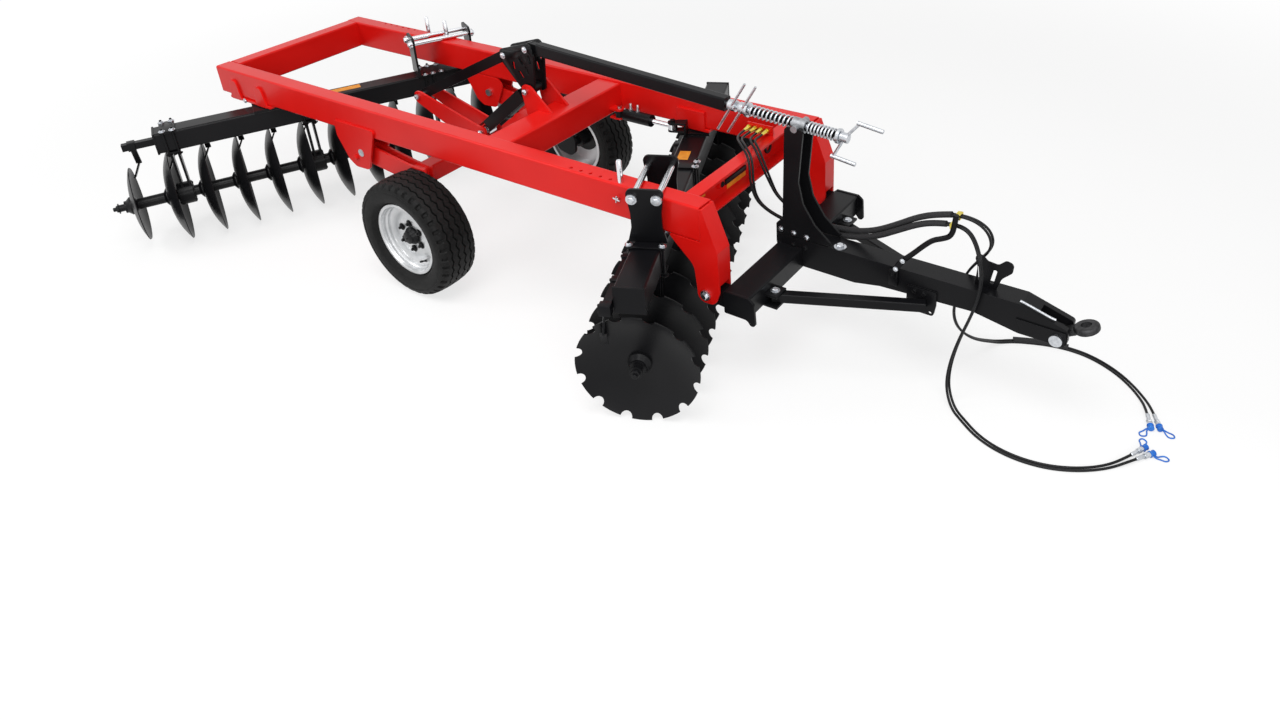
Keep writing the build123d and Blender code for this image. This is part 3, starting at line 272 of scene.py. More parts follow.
def fromBmesh(name, bm, smoothAngle=35):
    bmesh.ops.recalc_face_normals(bm, faces=bm.faces)
    mesh = bpy.data.meshes.new(name)
    bm.to_mesh(mesh)
    bm.free()
    smoothByAngle(mesh, smoothAngle)
    return newObject(name, mesh)


def solid(name, bm, finishName, body, smoothAngle=35):
    return finish(fromBmesh(name, bm, smoothAngle), finishName, body)


def lathe(bm, place, profile, segments, ring=False):
    # turned shape about the place's Z axis from rows of radius, height
    rings = []
    for radius, height in profile:
        circle = []
        for step in range(segments if radius > 1e-6 else 1):
            angle = 2 * math.pi * step / segments
            corner = Vector((radius * math.cos(angle), radius * math.sin(angle), height))
            circle.append(bm.verts.new(place @ corner))
        rings.append(circle)
    if ring:
        rings.append(rings[0])
    for low, high in zip(rings, rings[1:]):
        for step in range(segments):
            after = (step + 1) % segments
            corners = (low[step % len(low)], low[after % len(low)],
                       high[after % len(high)], high[step % len(high)])
            unique = list(dict.fromkeys(corners))
            if len(unique) > 2:
                bm.faces.new(unique)


def axisPlace(origin, direction):
    return Matrix.Translation(origin) @ Vector(direction).to_track_quat("Z", "Y").to_matrix().to_4x4()


def boxBetween(bm, place, low, high, edge=0.0):
    # block in the place's axes with eased edges
    corners = [bm.verts.new(place @ Vector((x, y, z)))
               for x in (low[0], high[0]) for y in (low[1], high[1]) for z in (low[2], high[2])]
    quads = [(0, 1, 3, 2), (4, 6, 7, 5), (0, 4, 5, 1), (2, 3, 7, 6), (0, 2, 6, 4), (1, 5, 7, 3)]
    faces = [bm.faces.new([corners[i] for i in quad]) for quad in quads]
    if edge:
        edges = list(dict.fromkeys(e for face in faces for e in face.edges))
        bmesh.ops.bevel(bm, geom=edges, offset=edge, segments=2, affect="EDGES", profile=0.6)


def machineBox(bm, low, high, edge=0.0):
    boxBetween(bm, Matrix.Translation(spot(0, 0, 0)), low, high, edge)


def extrude(bm, near, far):
    # closed prism between two matching outlines
    near = [bm.verts.new(corner) for corner in near]
    far = [bm.verts.new(corner) for corner in far]
    bm.faces.new(near)
    bm.faces.new(far[::-1])
    for index in range(len(near)):
        after = (index + 1) % len(near)
        bm.faces.new((near[index], far[index], far[after], near[after]))


def rodBetween(bm, start, end, radius, segments=14):
    run = end - start
    ease = radius * 0.25
    profile = [(0, 0), (radius - ease, 0), (radius, ease), (radius, run.length - ease),
               (radius - ease, run.length), (0, run.length)]
    lathe(bm, axisPlace(start, run), profile, segments)


def evaluatedMesh(obj):
    depsgraph = bpy.context.evaluated_depsgraph_get()
    depsgraph.update()
    return bpy.data.meshes.new_from_object(obj.evaluated_get(depsgraph))


def splineTube(name, points, radius, resolution=8, sides=4):
    # smooth round tube and the line that it follows
    curve = bpy.data.curves.new(name, "CURVE")
    curve.dimensions = "3D"
    spline = curve.splines.new("NURBS")
    spline.points.add(len(points) - 1)
    for point, place in zip(spline.points, points):
        point.co = (*place, 1)
    spline.order_u = 3
    spline.use_endpoint_u = True
    spline.resolution_u = resolution
    holder = newObject(name + "Line", curve)
    line = evaluatedMesh(holder)
    path = [vertex.co.copy() for vertex in line.vertices]
    bpy.data.meshes.remove(line)
    curve.bevel_depth = radius
    curve.bevel_resolution = sides
    curve.use_fill_caps = True
    mesh = evaluatedMesh(holder)
    bpy.data.objects.remove(holder)
    tidy = bmesh.new()
    tidy.from_mesh(mesh)
    bpy.data.meshes.remove(mesh)
    bmesh.ops.remove_doubles(tidy, verts=tidy.verts, dist=1e-6)
    return fromBmesh(name, tidy, 40), path


def bakeNodes(obj, name):
    # the evaluated result as a plain mesh object, the modifier left behind
    mesh = evaluatedMesh(obj)
    mesh.name = name
    bpy.data.objects.remove(obj)
    return newObject(name, mesh)


def carved(name, nodeName, cutter):
    # a copy of a CAD node's shape with holes cut through it
    mesh = frame["nodes"][nodeName].data.copy()
    bm = bmesh.new()
    bm.from_mesh(mesh)
    bmesh.ops.remove_doubles(bm, verts=bm.verts, dist=1e-6)
    bm.to_mesh(mesh)
    bm.free()
    holder = newObject(name + "Blank", mesh)
    modifier = holder.modifiers.new("holes", "BOOLEAN")
    modifier.operation = "DIFFERENCE"
    modifier.solver = "EXACT"
    modifier.object = cutter
    obj = bakeNodes(holder, name)
    bpy.data.objects.remove(cutter)
    smoothByAngle(obj.data, 30)
    return obj


# ---- Geometry Nodes: a piece repeated on placed points, and a wound spring

def nodeTree(name, sockets):
    tree = bpy.data.node_groups.new(name, "GeometryNodeTree")
    for socket, kind in sockets.items():
        tree.interface.new_socket(socket, in_out="INPUT", socket_type="NodeSocket" + kind)
    tree.interface.new_socket("Result", in_out="OUTPUT", socket_type="NodeSocketGeometry")
    return tree, tree.nodes.new("NodeGroupInput")


def closeTree(tree, given, shape, output):
    realize = tree.nodes.new("GeometryNodeRealizeInstances")
    paint = tree.nodes.new("GeometryNodeSetMaterial")
    end = tree.nodes.new("NodeGroupOutput")
    join(tree, (shape, output, realize, "Geometry"), (realize, "Geometry", paint, "Geometry"),
         (given, "Finish", paint, "Material"), (paint, "Geometry", end, "Result"))


def repeatTree():
    tree, given = nodeTree("repeatedPiece", {
        "Places": "Geometry", "Piece": "Object", "Size": "Float", "Finish": "Material"})
    piece = tree.nodes.new("GeometryNodeObjectInfo")
    turn = newNode(tree, "GeometryNodeInputNamedAttribute", {"Name": "turn"}, data_type="FLOAT_VECTOR")
    rotation = tree.nodes.new("FunctionNodeEulerToRotation")
    repeat = tree.nodes.new("GeometryNodeInstanceOnPoints")
    join(tree, (given, "Piece", piece, "Object"), (given, "Places", repeat, "Points"),
         (piece, "Geometry", repeat, "Instance"), (turn, "Attribute", rotation, "Euler"),
         (rotation, "Rotation", repeat, "Rotation"), (given, "Size", repeat, "Scale"))
    closeTree(tree, given, repeat, "Instances")
    return tree


def springTree():
    tree, given = nodeTree("coilSpring", {
        "Places": "Geometry", "Coil Radius": "Float", "Wire Radius": "Float", "Height": "Float",
        "Turns": "Float", "Finish": "Material"})
    spiral = newNode(tree, "GeometryNodeCurveSpiral", {"Resolution": 28})
    wire = newNode(tree, "GeometryNodeCurvePrimitiveCircle", {"Resolution": 10})
    coil = newNode(tree, "GeometryNodeCurveToMesh", {"Fill Caps": True})
    join(tree, (given, "Coil Radius", spiral, "Start Radius"), (given, "Coil Radius", spiral, "End Radius"),
         (given, "Height", spiral, "Height"), (given, "Turns", spiral, "Rotations"),
         (given, "Wire Radius", wire, "Radius"), (spiral, "Curve", coil, "Curve"),
         (wire, "Curve", coil, "Profile Curve"))
    closeTree(tree, given, coil, "Mesh")
    return tree


repeatedPiece = repeatTree()
coilSpring = springTree()


def nodeShape(name, mesh, tree, values):
    # the tree's result with the given inputs, as a plain mesh
    holder = newObject(name + "Source", mesh)
    modifier = holder.modifiers.new("nodes", "NODES")
    modifier.node_group = tree
    for item in tree.interface.items_tree:
        if item.in_out == "INPUT" and item.name in values:
            modifier[item.identifier] = values[item.name]
    return bakeNodes(holder, name)


def repeatPiece(name, template, places, finishName, body, size=1.0):
    # places are matrices; each holds one copy of the template
    mesh = bpy.data.meshes.new(name + "Places")
    mesh.from_pydata([place.translation for place in places], [], [])
    turns = mesh.attributes.new("turn", "FLOAT_VECTOR", "POINT")
    for item, place in zip(turns.data, places):
        item.vector = place.to_euler("XYZ")
    values = {"Piece": template, "Size": size, "Finish": finishes[finishName]}
    return finish(nodeShape(name, mesh, repeatedPiece, values), finishName, body)


# ---- templates that are repeated

boltShape = dict(across=0.024, head=0.0085, washer=0.02, washerHigh=0.003, shank=0.008, tail=0.01,
                 chamfer=0.0025)
blockShape = dict(low=(-0.031, -0.024, -0.029), high=(0.028, 0.024, 0.029), headUp=0.016, headRadius=0.0085)


def boltTemplate(name, threaded):
    shape = boltShape
    bm = bmesh.new()
    flat = Matrix.Identity(4)
    radius = shape["across"] / math.sqrt(3)
    base = shape["washerHigh"]
    top = base + shape["head"]
    lathe(bm, flat, [(0, 0), (shape["washer"], 0), (shape["washer"], base), (0, base)], 20)
    lathe(bm, flat, [(0, base), (radius, base), (radius, top - shape["chamfer"]),
                     (radius - shape["chamfer"] * 1.4, top), (0, top)], 6)
    if threaded:
        end = top + shape["tail"]
        lathe(bm, flat, [(0, top - 0.001), (shape["shank"], top - 0.001), (shape["shank"], end - 0.0015),
                         (shape["shank"] - 0.0015, end), (0, end)], 14)
    return fromBmesh(name, bm, 30)


def scraperBlockTemplate():
    # block that holds one scraper arm on its bar, with two bolt heads
    bm = bmesh.new()
    low = blockShape["low"]
    radius = blockShape["headRadius"]
    boxBetween(bm, Matrix.Identity(4), low, blockShape["high"], 0.004)
    for height in (-blockShape["headUp"], blockShape["headUp"]):
        lathe(bm, axisPlace(Vector((low[0], 0, height)), (-1, 0, 0)),
              [(0, 0), (radius, 0), (radius, 0.006), (radius - 0.0015, 0.0075), (0, 0.0075)], 6)
    return fromBmesh("scraperBlockTemplate", bm)


bolt = boltTemplate("boltTemplate", False)
nut = boltTemplate("nutTemplate", True)
scraperBlock = scraperBlockTemplate()


# ---- hoses

hosePairs = {
    "lower": [
        (-0.227, 0.236, 1.04, 0.019, 180), (-0.227, 0.16, 1.04, 0.019, 180),
        (-0.203, 0.076, 1.052, 0.012, 195), (-0.125, 0.0, 1.062, 0.009, 225),
        (-0.036, -0.07, 1.036, 0.009, 240), (-0.016, -0.1, 0.92, 0.01, 255),
        (-0.018, -0.062, 0.81, 0.01, 280), (-0.008, 0.005, 0.718, 0.01, 305), (0.03, 0.075, 0.64, 0.009, 310),
        (0.11, 0.105, 0.603, 0.008, 285), (0.205, 0.106, 0.604, 0.008, 270), (0.31, 0.098, 0.612, 0.008, 270),
        (0.415, 0.086, 0.628, 0.008, 270), (0.525, 0.062, 0.66, 0.008, 270), (0.64, 0.038, 0.718, 0.008, 270),
        (0.745, 0.02, 0.791, 0.008, 270), (0.85, 0.008, 0.862, 0.008, 270), (0.935, 0.003, 0.9, 0.008, 270),
        (1.0, 0.0, 0.914, 0.008, 270), (1.068, 0.0, 0.92, 0.008, 270), (1.12, -0.012, 0.905, 0.008, 270),
        (1.162, -0.035, 0.862, 0.009, 270), (1.195, -0.057, 0.792, 0.01, 270),
        (1.216, -0.08, 0.702, 0.01, 270), (1.207, -0.086, 0.6, 0.01, 270), (1.18, -0.092, 0.49, 0.01, 270),
        (1.145, -0.108, 0.37, 0.01, 265), (1.122, -0.13, 0.25, 0.009, 258),
        (1.116, -0.146, 0.138, 0.009, 250), (1.135, -0.164, 0.062, 0.009, 244),
        (1.176, -0.192, 0.0068, 0.009, 236), (1.243, -0.243, 0.0068, 0.009, 232),
        (1.322, -0.3, 0.0068, 0.009, 238), (1.412, -0.338, 0.0068, 0.009, 251),
        (1.507, -0.354, 0.0068, 0.009, 266), (1.6, -0.351, 0.0068, 0.009, 276),
        (1.69, -0.331, 0.0068, 0.009, 288), (1.775, -0.293, 0.0068, 0.009, 298),
        (1.85, -0.243, 0.0068, 0.009, 308), (1.913, -0.183, 0.0068, 0.01, 317),
        (1.964, -0.121, 0.0164, 0.012, 326), (2.001, -0.062, 0.0164, 0.017, 330)],
    "upper": [
        (-0.151, 0.236, 1.04, 0.019, 180), (-0.151, 0.16, 1.04, 0.019, 180),
        (-0.124, 0.082, 1.056, 0.012, 200), (-0.052, 0.024, 1.042, 0.009, 225),
        (0.002, 0.0, 0.96, 0.009, 242), (0.022, 0.03, 0.862, 0.009, 270), (0.024, 0.078, 0.774, 0.009, 292),
        (0.06, 0.118, 0.7, 0.008, 305), (0.148, 0.124, 0.655, 0.008, 280), (0.25, 0.116, 0.641, 0.008, 270),
        (0.37, 0.107, 0.65, 0.008, 270), (0.5, 0.09, 0.677, 0.008, 270), (0.615, 0.066, 0.729, 0.008, 270),
        (0.729, 0.044, 0.806, 0.008, 270), (0.85, 0.024, 0.896, 0.008, 270), (0.95, 0.01, 0.946, 0.008, 270),
        (1.022, 0.001, 0.97, 0.008, 270), (1.09, 0.0, 0.976, 0.008, 270), (1.15, 0.002, 0.964, 0.01, 270),
        (1.196, 0.008, 0.93, 0.013, 270), (1.218, 0.016, 0.876, 0.015, 270),
        (1.208, 0.032, 0.818, 0.015, 270), (1.172, 0.052, 0.756, 0.012, 270),
        (1.132, 0.076, 0.694, 0.009, 270), (1.095, 0.092, 0.63, 0.009, 270),
        (1.062, 0.096, 0.545, 0.009, 275), (1.042, 0.098, 0.448, 0.009, 285),
        (1.034, 0.102, 0.35, 0.009, 300), (1.048, 0.123, 0.267, 0.009, 320),
        (1.078, 0.165, 0.198, 0.009, 330), (1.108, 0.222, 0.142, 0.009, 336),
        (1.132, 0.29, 0.093, 0.009, 342), (1.155, 0.362, 0.048, 0.009, 340),
        (1.183, 0.432, 0.0068, 0.009, 325), (1.247, 0.479, 0.0068, 0.009, 303),
        (1.33, 0.515, 0.0068, 0.009, 291), (1.42, 0.545, 0.0068, 0.009, 284),
        (1.515, 0.56, 0.0068, 0.009, 273), (1.61, 0.555, 0.0068, 0.009, 260),
        (1.7, 0.527, 0.0068, 0.009, 247), (1.785, 0.483, 0.0068, 0.009, 238),
        (1.86, 0.425, 0.0068, 0.009, 229), (1.925, 0.357, 0.0068, 0.01, 218),
        (1.97, 0.285, 0.0164, 0.013, 209), (2.002, 0.215, 0.0164, 0.017, 204)],
}
hoseShape = dict(radius=0.0065, blendStart=(-0.19, 0.21, 1.04), blendEnd=(-0.05, -0.02, 0.98),
                 lengths={"lowerRight": 3.988, "lowerLeft": 3.935, "upperRight": 4.017, "upperLeft": 4.032})
capShape = dict(radius=0.016, long=0.028, couplerLong=0.046, wire=0.0036, floor=-0.0126)


def hosePoints(pair, way):
    points = []
    for x, y, z, spread, heading in hosePairs[pair]:
        angle = math.radians(heading)
        points.append(spot(x + way * spread * math.cos(angle), y + way * spread * math.sin(angle), z))
    return points


def hoseCoupler(name, origin, toward):
    # swaged hose end, hexagon and quick coupler
    bm = bmesh.new()
    place = axisPlace(origin, toward)
    lathe(bm, place, [(0, -0.03), (0.0074, -0.03), (0.0098, -0.027), (0.0098, 0.01), (0.009, 0.012),
                      (0.009, 0.016), (0, 0.016)], 18)
    lathe(bm, place, [(0, 0.016), (0.0148, 0.016), (0.0148, 0.026), (0.0128, 0.0275), (0, 0.0275)], 6)
    lathe(bm, place, [(0, 0.0275), (0.0122, 0.0275), (0.0128, 0.029), (0.0128, 0.0445), (0.0115, 0.046),
                      (0, 0.046)], 20)
    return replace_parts(solid(name + "Coupler", bm, "brightZinc", "drawbar"), "hose_couplers")


def dustCap(name, origin, toward):
    bm = bmesh.new()
    place = axisPlace(origin + toward * (capShape["couplerLong"] + 0.0003), toward)
    radius = capShape["radius"]
    long = capShape["long"]
    lathe(bm, place, [(0, 0), (radius, 0), (radius, 0.005), (radius - 0.003, 0.006),
                      (radius - 0.003, long - 0.009), (radius - 0.001, long - 0.008),
                      (radius - 0.001, long - 0.003), (radius - 0.004, long), (0, long)], 24)
    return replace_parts(solid(name + "Cap", bm, "mouldedBlue", "drawbar"), "hose_caps")


def capStrap(name, origin, toward, way):
    # the ring strap lies on the floor beside its cap
    side = Vector((-toward.y, toward.x, 0)).normalized() * way
    low = Vector((0, 0, capShape["floor"]))
    base = origin + toward * (capShape["couplerLong"] + 0.01)
    rows = [(0.012, 0.004, 0.5), (0.022, 0.008, 0.95), (0.036, 0.022, 1), (0.056, 0.034, 1),
            (0.054, 0.058, 1), (0.026, 0.056, 1), (0.02, 0.034, 1), (0.019, 0.018, 0.95), (0.012, 0.012, 0.5)]
    route = [base + side * out + toward * on + low * down for out, on, down in rows]
    strap = splineTube(name + "Strap", route, capShape["wire"], sides=2)[0]
    return finish(strap, "mouldedBlue", "drawbar")


def hoseFerrules(starts):
    # crimped ends at the channel's fittings, tapered to the hose
    bm = bmesh.new()
    for origin, toward in starts:
        lathe(bm, axisPlace(origin, toward), [
            (0, 0), (0.0112, 0), (0.0112, 0.006), (0.0098, 0.008), (0.0098, 0.024), (0.0082, 0.034),
            (0.007, 0.04), (0, 0.04)], 18)
    solid("hoseFerrules", bm, "yellowZinc", "frame")


def makeHoses():
    starts = []
    for pair in hosePairs:
        for hand, way in (("Right", 1), ("Left", -1)):
            name = pair + hand
            points = hosePoints(pair, way)
            hose, path = splineTube(name + "Hose", points, hoseShape["radius"], resolution=7)
            finish(hose, "hoseRubber", None)
            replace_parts(hose, "hose_" + pair + "_" + hand.lower())
            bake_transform(hose)
            toward = (points[-1] - points[-2]).normalized()
            held = [hoseCoupler(name, points[-1], toward), dustCap(name, points[-1], toward),
                    capStrap(name, points[-1], toward, -way)]
            starts.append((points[0], points[1] - points[0]))
    hoseFerrules(starts)


sleeves = {
    "lowerSleeve": dict(pair="lower", rows=(9, 19), radius=0.0155, lift=0),
    "upperSleeve": dict(pair="upper", rows=(8, 17), radius=0.0155, lift=0),
    "floorSleeve": dict(pair="upper", rows=(34, 38), radius=0.0158, lift=0.0092),
}


def makeSleeves():
    for name, sleeve in sleeves.items():
        first, last = sleeve["rows"]
        points = [spot(x, y, z + sleeve["lift"]) for x, y, z, *_ in hosePairs[sleeve["pair"]][first:last]]
        tube = splineTube(name, points, sleeve["radius"], resolution=7, sides=5)[0]
        finish(tube, "wovenSleeve", "drawbar")


armShape = dict(
    radius=0.0135, low=(0.7855, -0.0705, 0.63), high=(0.827, -0.064, 0.7), foot=(0.014, 0.0145),
    route=[(0.775, -0.0718, 0.59), (0.788, -0.0718, 0.65), (0.826, -0.064, 0.696), (0.868, -0.05, 0.738),
           (0.908, -0.043, 0.785), (0.952, -0.038, 0.83), (1.0, -0.034, 0.85), (1.034, -0.0334, 0.872),
           (1.048, -0.0334, 0.915), (1.054, -0.0334, 0.992)])


def makeArm():
    # the bent hose arm, and the bar with two bolts that holds it to the drawbar
    points = [spot(*place) for place in armShape["route"]]
    arm = splineTube("hoseArm", points, armShape["radius"], sides=5)[0]
    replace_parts(finish(arm, "blackEnamel", "drawbar"), "hose_arm")
    half, out = armShape["foot"]
    bm = bmesh.new()
    machineBox(bm, (0.752, -0.0723, 0.53), (0.798, -0.0603, 0.624), 0.002)
    low = spot(*armShape["low"])
    run = spot(*armShape["high"]) - low
    along = run.normalized()
    outward = Vector((0, -1, 0))
    across = along.cross(outward).normalized()
    outward = across.cross(along)
    start = low - along * 0.008
    end = low + run + along * 0.006
    corners = [start + across * half, end + across * half, end - across * half, start - across * half]
    extrude(bm, corners, [corner + outward * out for corner in corners])
    solid("armFoot", bm, "blackEnamel", "drawbar")
    seats = [axisPlace(low + run * share + outward * out, outward) for share in (0.12, 0.88)]
    repeatPiece("armBolts", bolt, seats, "brightZinc", "drawbar", 0.62)


makeHoses()
makeSleeves()
makeArm()
print("hoses laid")


# ---- wheels

wheelShape = dict(x=-1.982, y=0.755, z=0.375, radius=0.375, half=0.132, rim=0.223, bead=0.09, treadHalf=0.104,
                  waves=38, waveSteps=8, zigzag=0.0075, groove=0.0115, depth=0.012, crown=0.0095,
                  grooves=(-0.068, -0.023, 0.023, 0.068), notch=0.011, notchIn=0.005, notchShare=0.36)


def wheelCentre(side):
    return spot(wheelShape["x"], side * wheelShape["y"], wheelShape["z"])


def spoke(angle):
    return Vector((math.cos(angle), 0, math.sin(angle)))


# tyre wall: how far in from the half width, and how far up from the rim
wallRows = [(0.01, 0.034), (0.0065, 0.04), (0.0045, 0.046), (0.0005, 0.074), (0.001, 0.09), (0.0035, 0.1),
            (0.001, 0.104), (0.006, 0.12), (0.011, 0.129), (0.019, 0.1375)]


def crownRadius(y):
    # tread face, lower towards the shoulders
    return wheelShape["radius"] - wheelShape["crown"] * (abs(y) / wheelShape["treadHalf"]) ** 2.2


def treadColumns():
    # y, radius and how far the zigzag moves each column, across the tread
    half = wheelShape["groove"] / 2
    edge = wheelShape["treadHalf"]
    columns = [(-edge, crownRadius(edge), 0.0), (-edge + 0.012, crownRadius(edge - 0.012), 0.3)]
    for middle in wheelShape["grooves"]:
        low = crownRadius(middle) - wheelShape["depth"]
        swing = 1.0 if abs(middle) < 0.05 else 0.75
        columns += [(middle - half, crownRadius(middle), swing), (middle - half * 0.6, low, swing),
                    (middle + half * 0.6, low, swing), (middle + half, crownRadius(middle), swing)]
    columns += [(edge - 0.012, crownRadius(edge - 0.012), 0.3), (edge, crownRadius(edge), 0.0)]
    return columns


def treadedTyre(name, side, body):
    half = wheelShape["half"]
    bead = wheelShape["bead"]
    rim = wheelShape["rim"]
    wall = [(bead, rim - 0.003), (bead, rim + 0.012)]
    wall += [(half - inset, rim + up) for inset, up in wallRows]
    tread = treadColumns()
    rows = [(-y, r, 0.0) for y, r in wall] + tread + [(y, r, 0.0) for y, r in reversed(wall)]
    rows += [(y, rim - 0.003, 0.0) for y in (0.045, 0.0, -0.045)]
    first = len(wall)
    last = first + len(tread) - 1
    shoulders = {first - 2: 0.5, first - 1: 0.5, first: 0.5, last: 0.0, last + 1: 0.0, last + 2: 0.0}
    centre = wheelCentre(side)
    steps = wheelShape["waveSteps"]
    count = wheelShape["waves"] * steps
    bm = bmesh.new()
    rings = []
    for step in range(count):
        phase = step % steps / steps
        swing = wheelShape["zigzag"] * (4 * abs(phase - 0.5) - 1)
        angle = 2 * math.pi * step / count
        ring = []
        for index, (y, r, share) in enumerate(rows):
            if index in shoulders and (phase + shoulders[index]) % 1 < wheelShape["notchShare"]:
                r -= wheelShape["notch"]
                y -= math.copysign(wheelShape["notchIn"], y)
            ring.append(bm.verts.new(centre + spoke(angle) * r + Vector((0, y + swing * share, 0))))
        rings.append(ring)
    for ring, after in zip(rings, rings[1:] + rings[:1]):
        for index in range(len(rows)):
            beside = (index + 1) % len(rows)
            bm.faces.new((ring[index], after[index], after[beside], ring[beside]))
    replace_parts(solid(name + "Tyre", bm, "tyreRubber", body, 32), "tyre_" + name)


rimRows = [
    (0.2197, 0.09), (0.231, 0.0908), (0.2325, 0.0945), (0.231, 0.099), (0.222, 0.1005), (0.2145, 0.098),
    (0.2112, 0.092), (0.21, 0.084), (0.2082, 0.081), (0.2078, 0.066), (0.204, 0.06), (0.1995, 0.057),
    (0.1985, 0.044), (0.1965, 0.04), (0.189, 0.0375), (0.182, 0.0335), (0.16, 0.031), (0.15, 0.033),
    (0.135, 0.0405), (0.112, 0.046), (0.086, 0.045), (0.07, 0.042), (0.062, 0.036), (0.056, 0.034),
    (0.056, 0.0262), (0.086, 0.034), (0.193, 0.022), (0.193, -0.046), (0.211, -0.076), (0.211, -0.099),
    (0.231, -0.099), (0.231, -0.091), (0.2197, -0.09)]
hubShape = dict(studCircle=0.086, studs=6, nutSeat=0.045, valveAngle=292, valveCircle=0.176)


def wheelRim(name, side, body):
    centre = wheelCentre(side)
    bm = bmesh.new()
    lathe(bm, axisPlace(centre, (0, side, 0)), rimRows, 72, ring=True)
    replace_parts(solid(name + "Rim", bm, "silverEnamel", body, 28), "rim_" + name)


def wheelHardware(name, side, body):
    # six wheel nuts, the turned hub cap and the valve
    centre = wheelCentre(side)
    outward = Vector((0, side, 0))
    places = []
    for step in range(hubShape["studs"]):
        angle = 2 * math.pi * (step + 0.5) / hubShape["studs"]
        seat = centre + spoke(angle) * hubShape["studCircle"] + outward * hubShape["nutSeat"]
        places.append(axisPlace(seat, outward))
    repeatPiece(name + "WheelNuts", nut, places, "hubEnamel", body, 1.15)
    bm = bmesh.new()
    place = axisPlace(centre + outward * 0.03, outward)
    lathe(bm, place, [(0, 0), (0.0555, 0), (0.0555, 0.012), (0.05, 0.018), (0.046, 0.02), (0.046, 0.032),
                      (0.0415, 0.038), (0.0385, 0.048), (0.03, 0.0535), (0, 0.055)], 36)
    lathe(bm, place, [(0, 0.0535), (0.006, 0.0535), (0.006, 0.058), (0.0025, 0.0605), (0, 0.061)], 12)
    solid(name + "HubCap", bm, "hubEnamel", body)
    radial = spoke(math.radians(hubShape["valveAngle"]))
    foot = centre + radial * hubShape["valveCircle"] + outward * 0.03
    stem = bmesh.new()
    lathe(stem, axisPlace(foot, outward * 0.9 - radial * 0.3),
          [(0, -0.002), (0.0085, -0.002), (0.0075, 0.008), (0.0052, 0.012), (0.0052, 0.028), (0.0068, 0.029),
           (0.0068, 0.042), (0.005, 0.044), (0, 0.044)], 14)
    solid(name + "Valve", stem, "hoseRubber", body)


for wheelName, wheelSide in (("near", -1), ("far", 1)):
    for makePiece in (treadedTyre, wheelRim, wheelHardware):
        makePiece(wheelName, wheelSide, wheelName + "_wheel")
print("wheels dressed")


# ---- levelling bar: springs on black sleeves, painted shade between the coils

springShape = dict(radius=0.0275, wire=0.0055, sleeve=0.0188, low=(-1.586, 1.368), high=(0.215, 1.255),
                   spans={"rear": (-0.08, 0.175, 10.0), "front": (0.255, 0.424, 8.5)})


def levelPoint(x):
    lowX, lowZ = springShape["low"]
    highX, highZ = springShape["high"]
    return spot(x, 0, lowZ + (x - lowX) * (highZ - lowZ) / (highX - lowX))


def makeSprings():
    # the black sleeves are painted shade inside the springs, seen in the gaps between the coils, and also
    # stand for a darker screw
    shadeSleeveShape = bmesh.new()
    for name, (start, end, turns) in springShape["spans"].items():
        inset = springShape["wire"] + 0.0003
        low = levelPoint(start + inset)
        high = levelPoint(end - inset)
        values = {"Coil Radius": springShape["radius"], "Wire Radius": springShape["wire"], "Turns": turns,
                  "Height": (high - low).length, "Finish": finishes["brightZinc"]}
        spring = nodeShape(name + "Spring", bpy.data.meshes.new(name + "SpringPlace"), coilSpring, values)
        spring.data.transform(axisPlace(low, high - low))
        smoothByAngle(spring.data, 60)
        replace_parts(finish(spring, "brightZinc", "levelling_bar"), "levelling_springs")
        # black sleeve round the screw: painted shade between the coils
        rodBetween(shadeSleeveShape, low, high, springShape["sleeve"], 20)
    solid("springSleeves", shadeSleeveShape, "blackEnamel", "levelling_bar")


makeSprings()
print("springs wound")


# ---- rocker with its slots: the two ends of each slot's middle line, in X and Z

rockerSlots = dict(
    wide=0.02, half=0.075,
    rows=[(-1.705, 1.264, -1.705, 1.23), (-1.648, 1.3, -1.63, 1.272), (-1.572, 1.322, -1.567, 1.288),
          (-1.66, 1.212, -1.642, 1.184), (-1.602, 1.25, -1.596, 1.216)])


def makeRocker():
    bm = bmesh.new()
    radius = rockerSlots["wide"] / 2
    reach = Vector((0, rockerSlots["half"], 0))
    for x0, z0, x1, z1 in rockerSlots["rows"]:
        start = spot(x0, 0, z0)
        run = spot(x1, 0, z1) - start
        corners = []
        for origin, along in ((start, run.normalized()), (start + run, -run.normalized())):
            across = Vector((along.z, 0, -along.x))
            for step in range(7):
                angle = math.pi * step / 6
                corners.append(origin - along * radius * math.sin(angle) + across * radius * math.cos(angle))
        extrude(bm, [corner - reach for corner in corners], [corner + reach for corner in corners])
    rocker = carved("slottedRocker", "rocker", fromBmesh("slotCutter", bm))
    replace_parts(finish(rocker, "blackEnamel", "rocker"), "rocker")


makeRocker()


# ---- gangs: beam clamps, scraper blocks and bolts

clampShape = dict(plateHalf=0.1, rodOut=0.0845, rodRadius=0.008, over=0.033, drop=0.028, footDrop=0.0125)


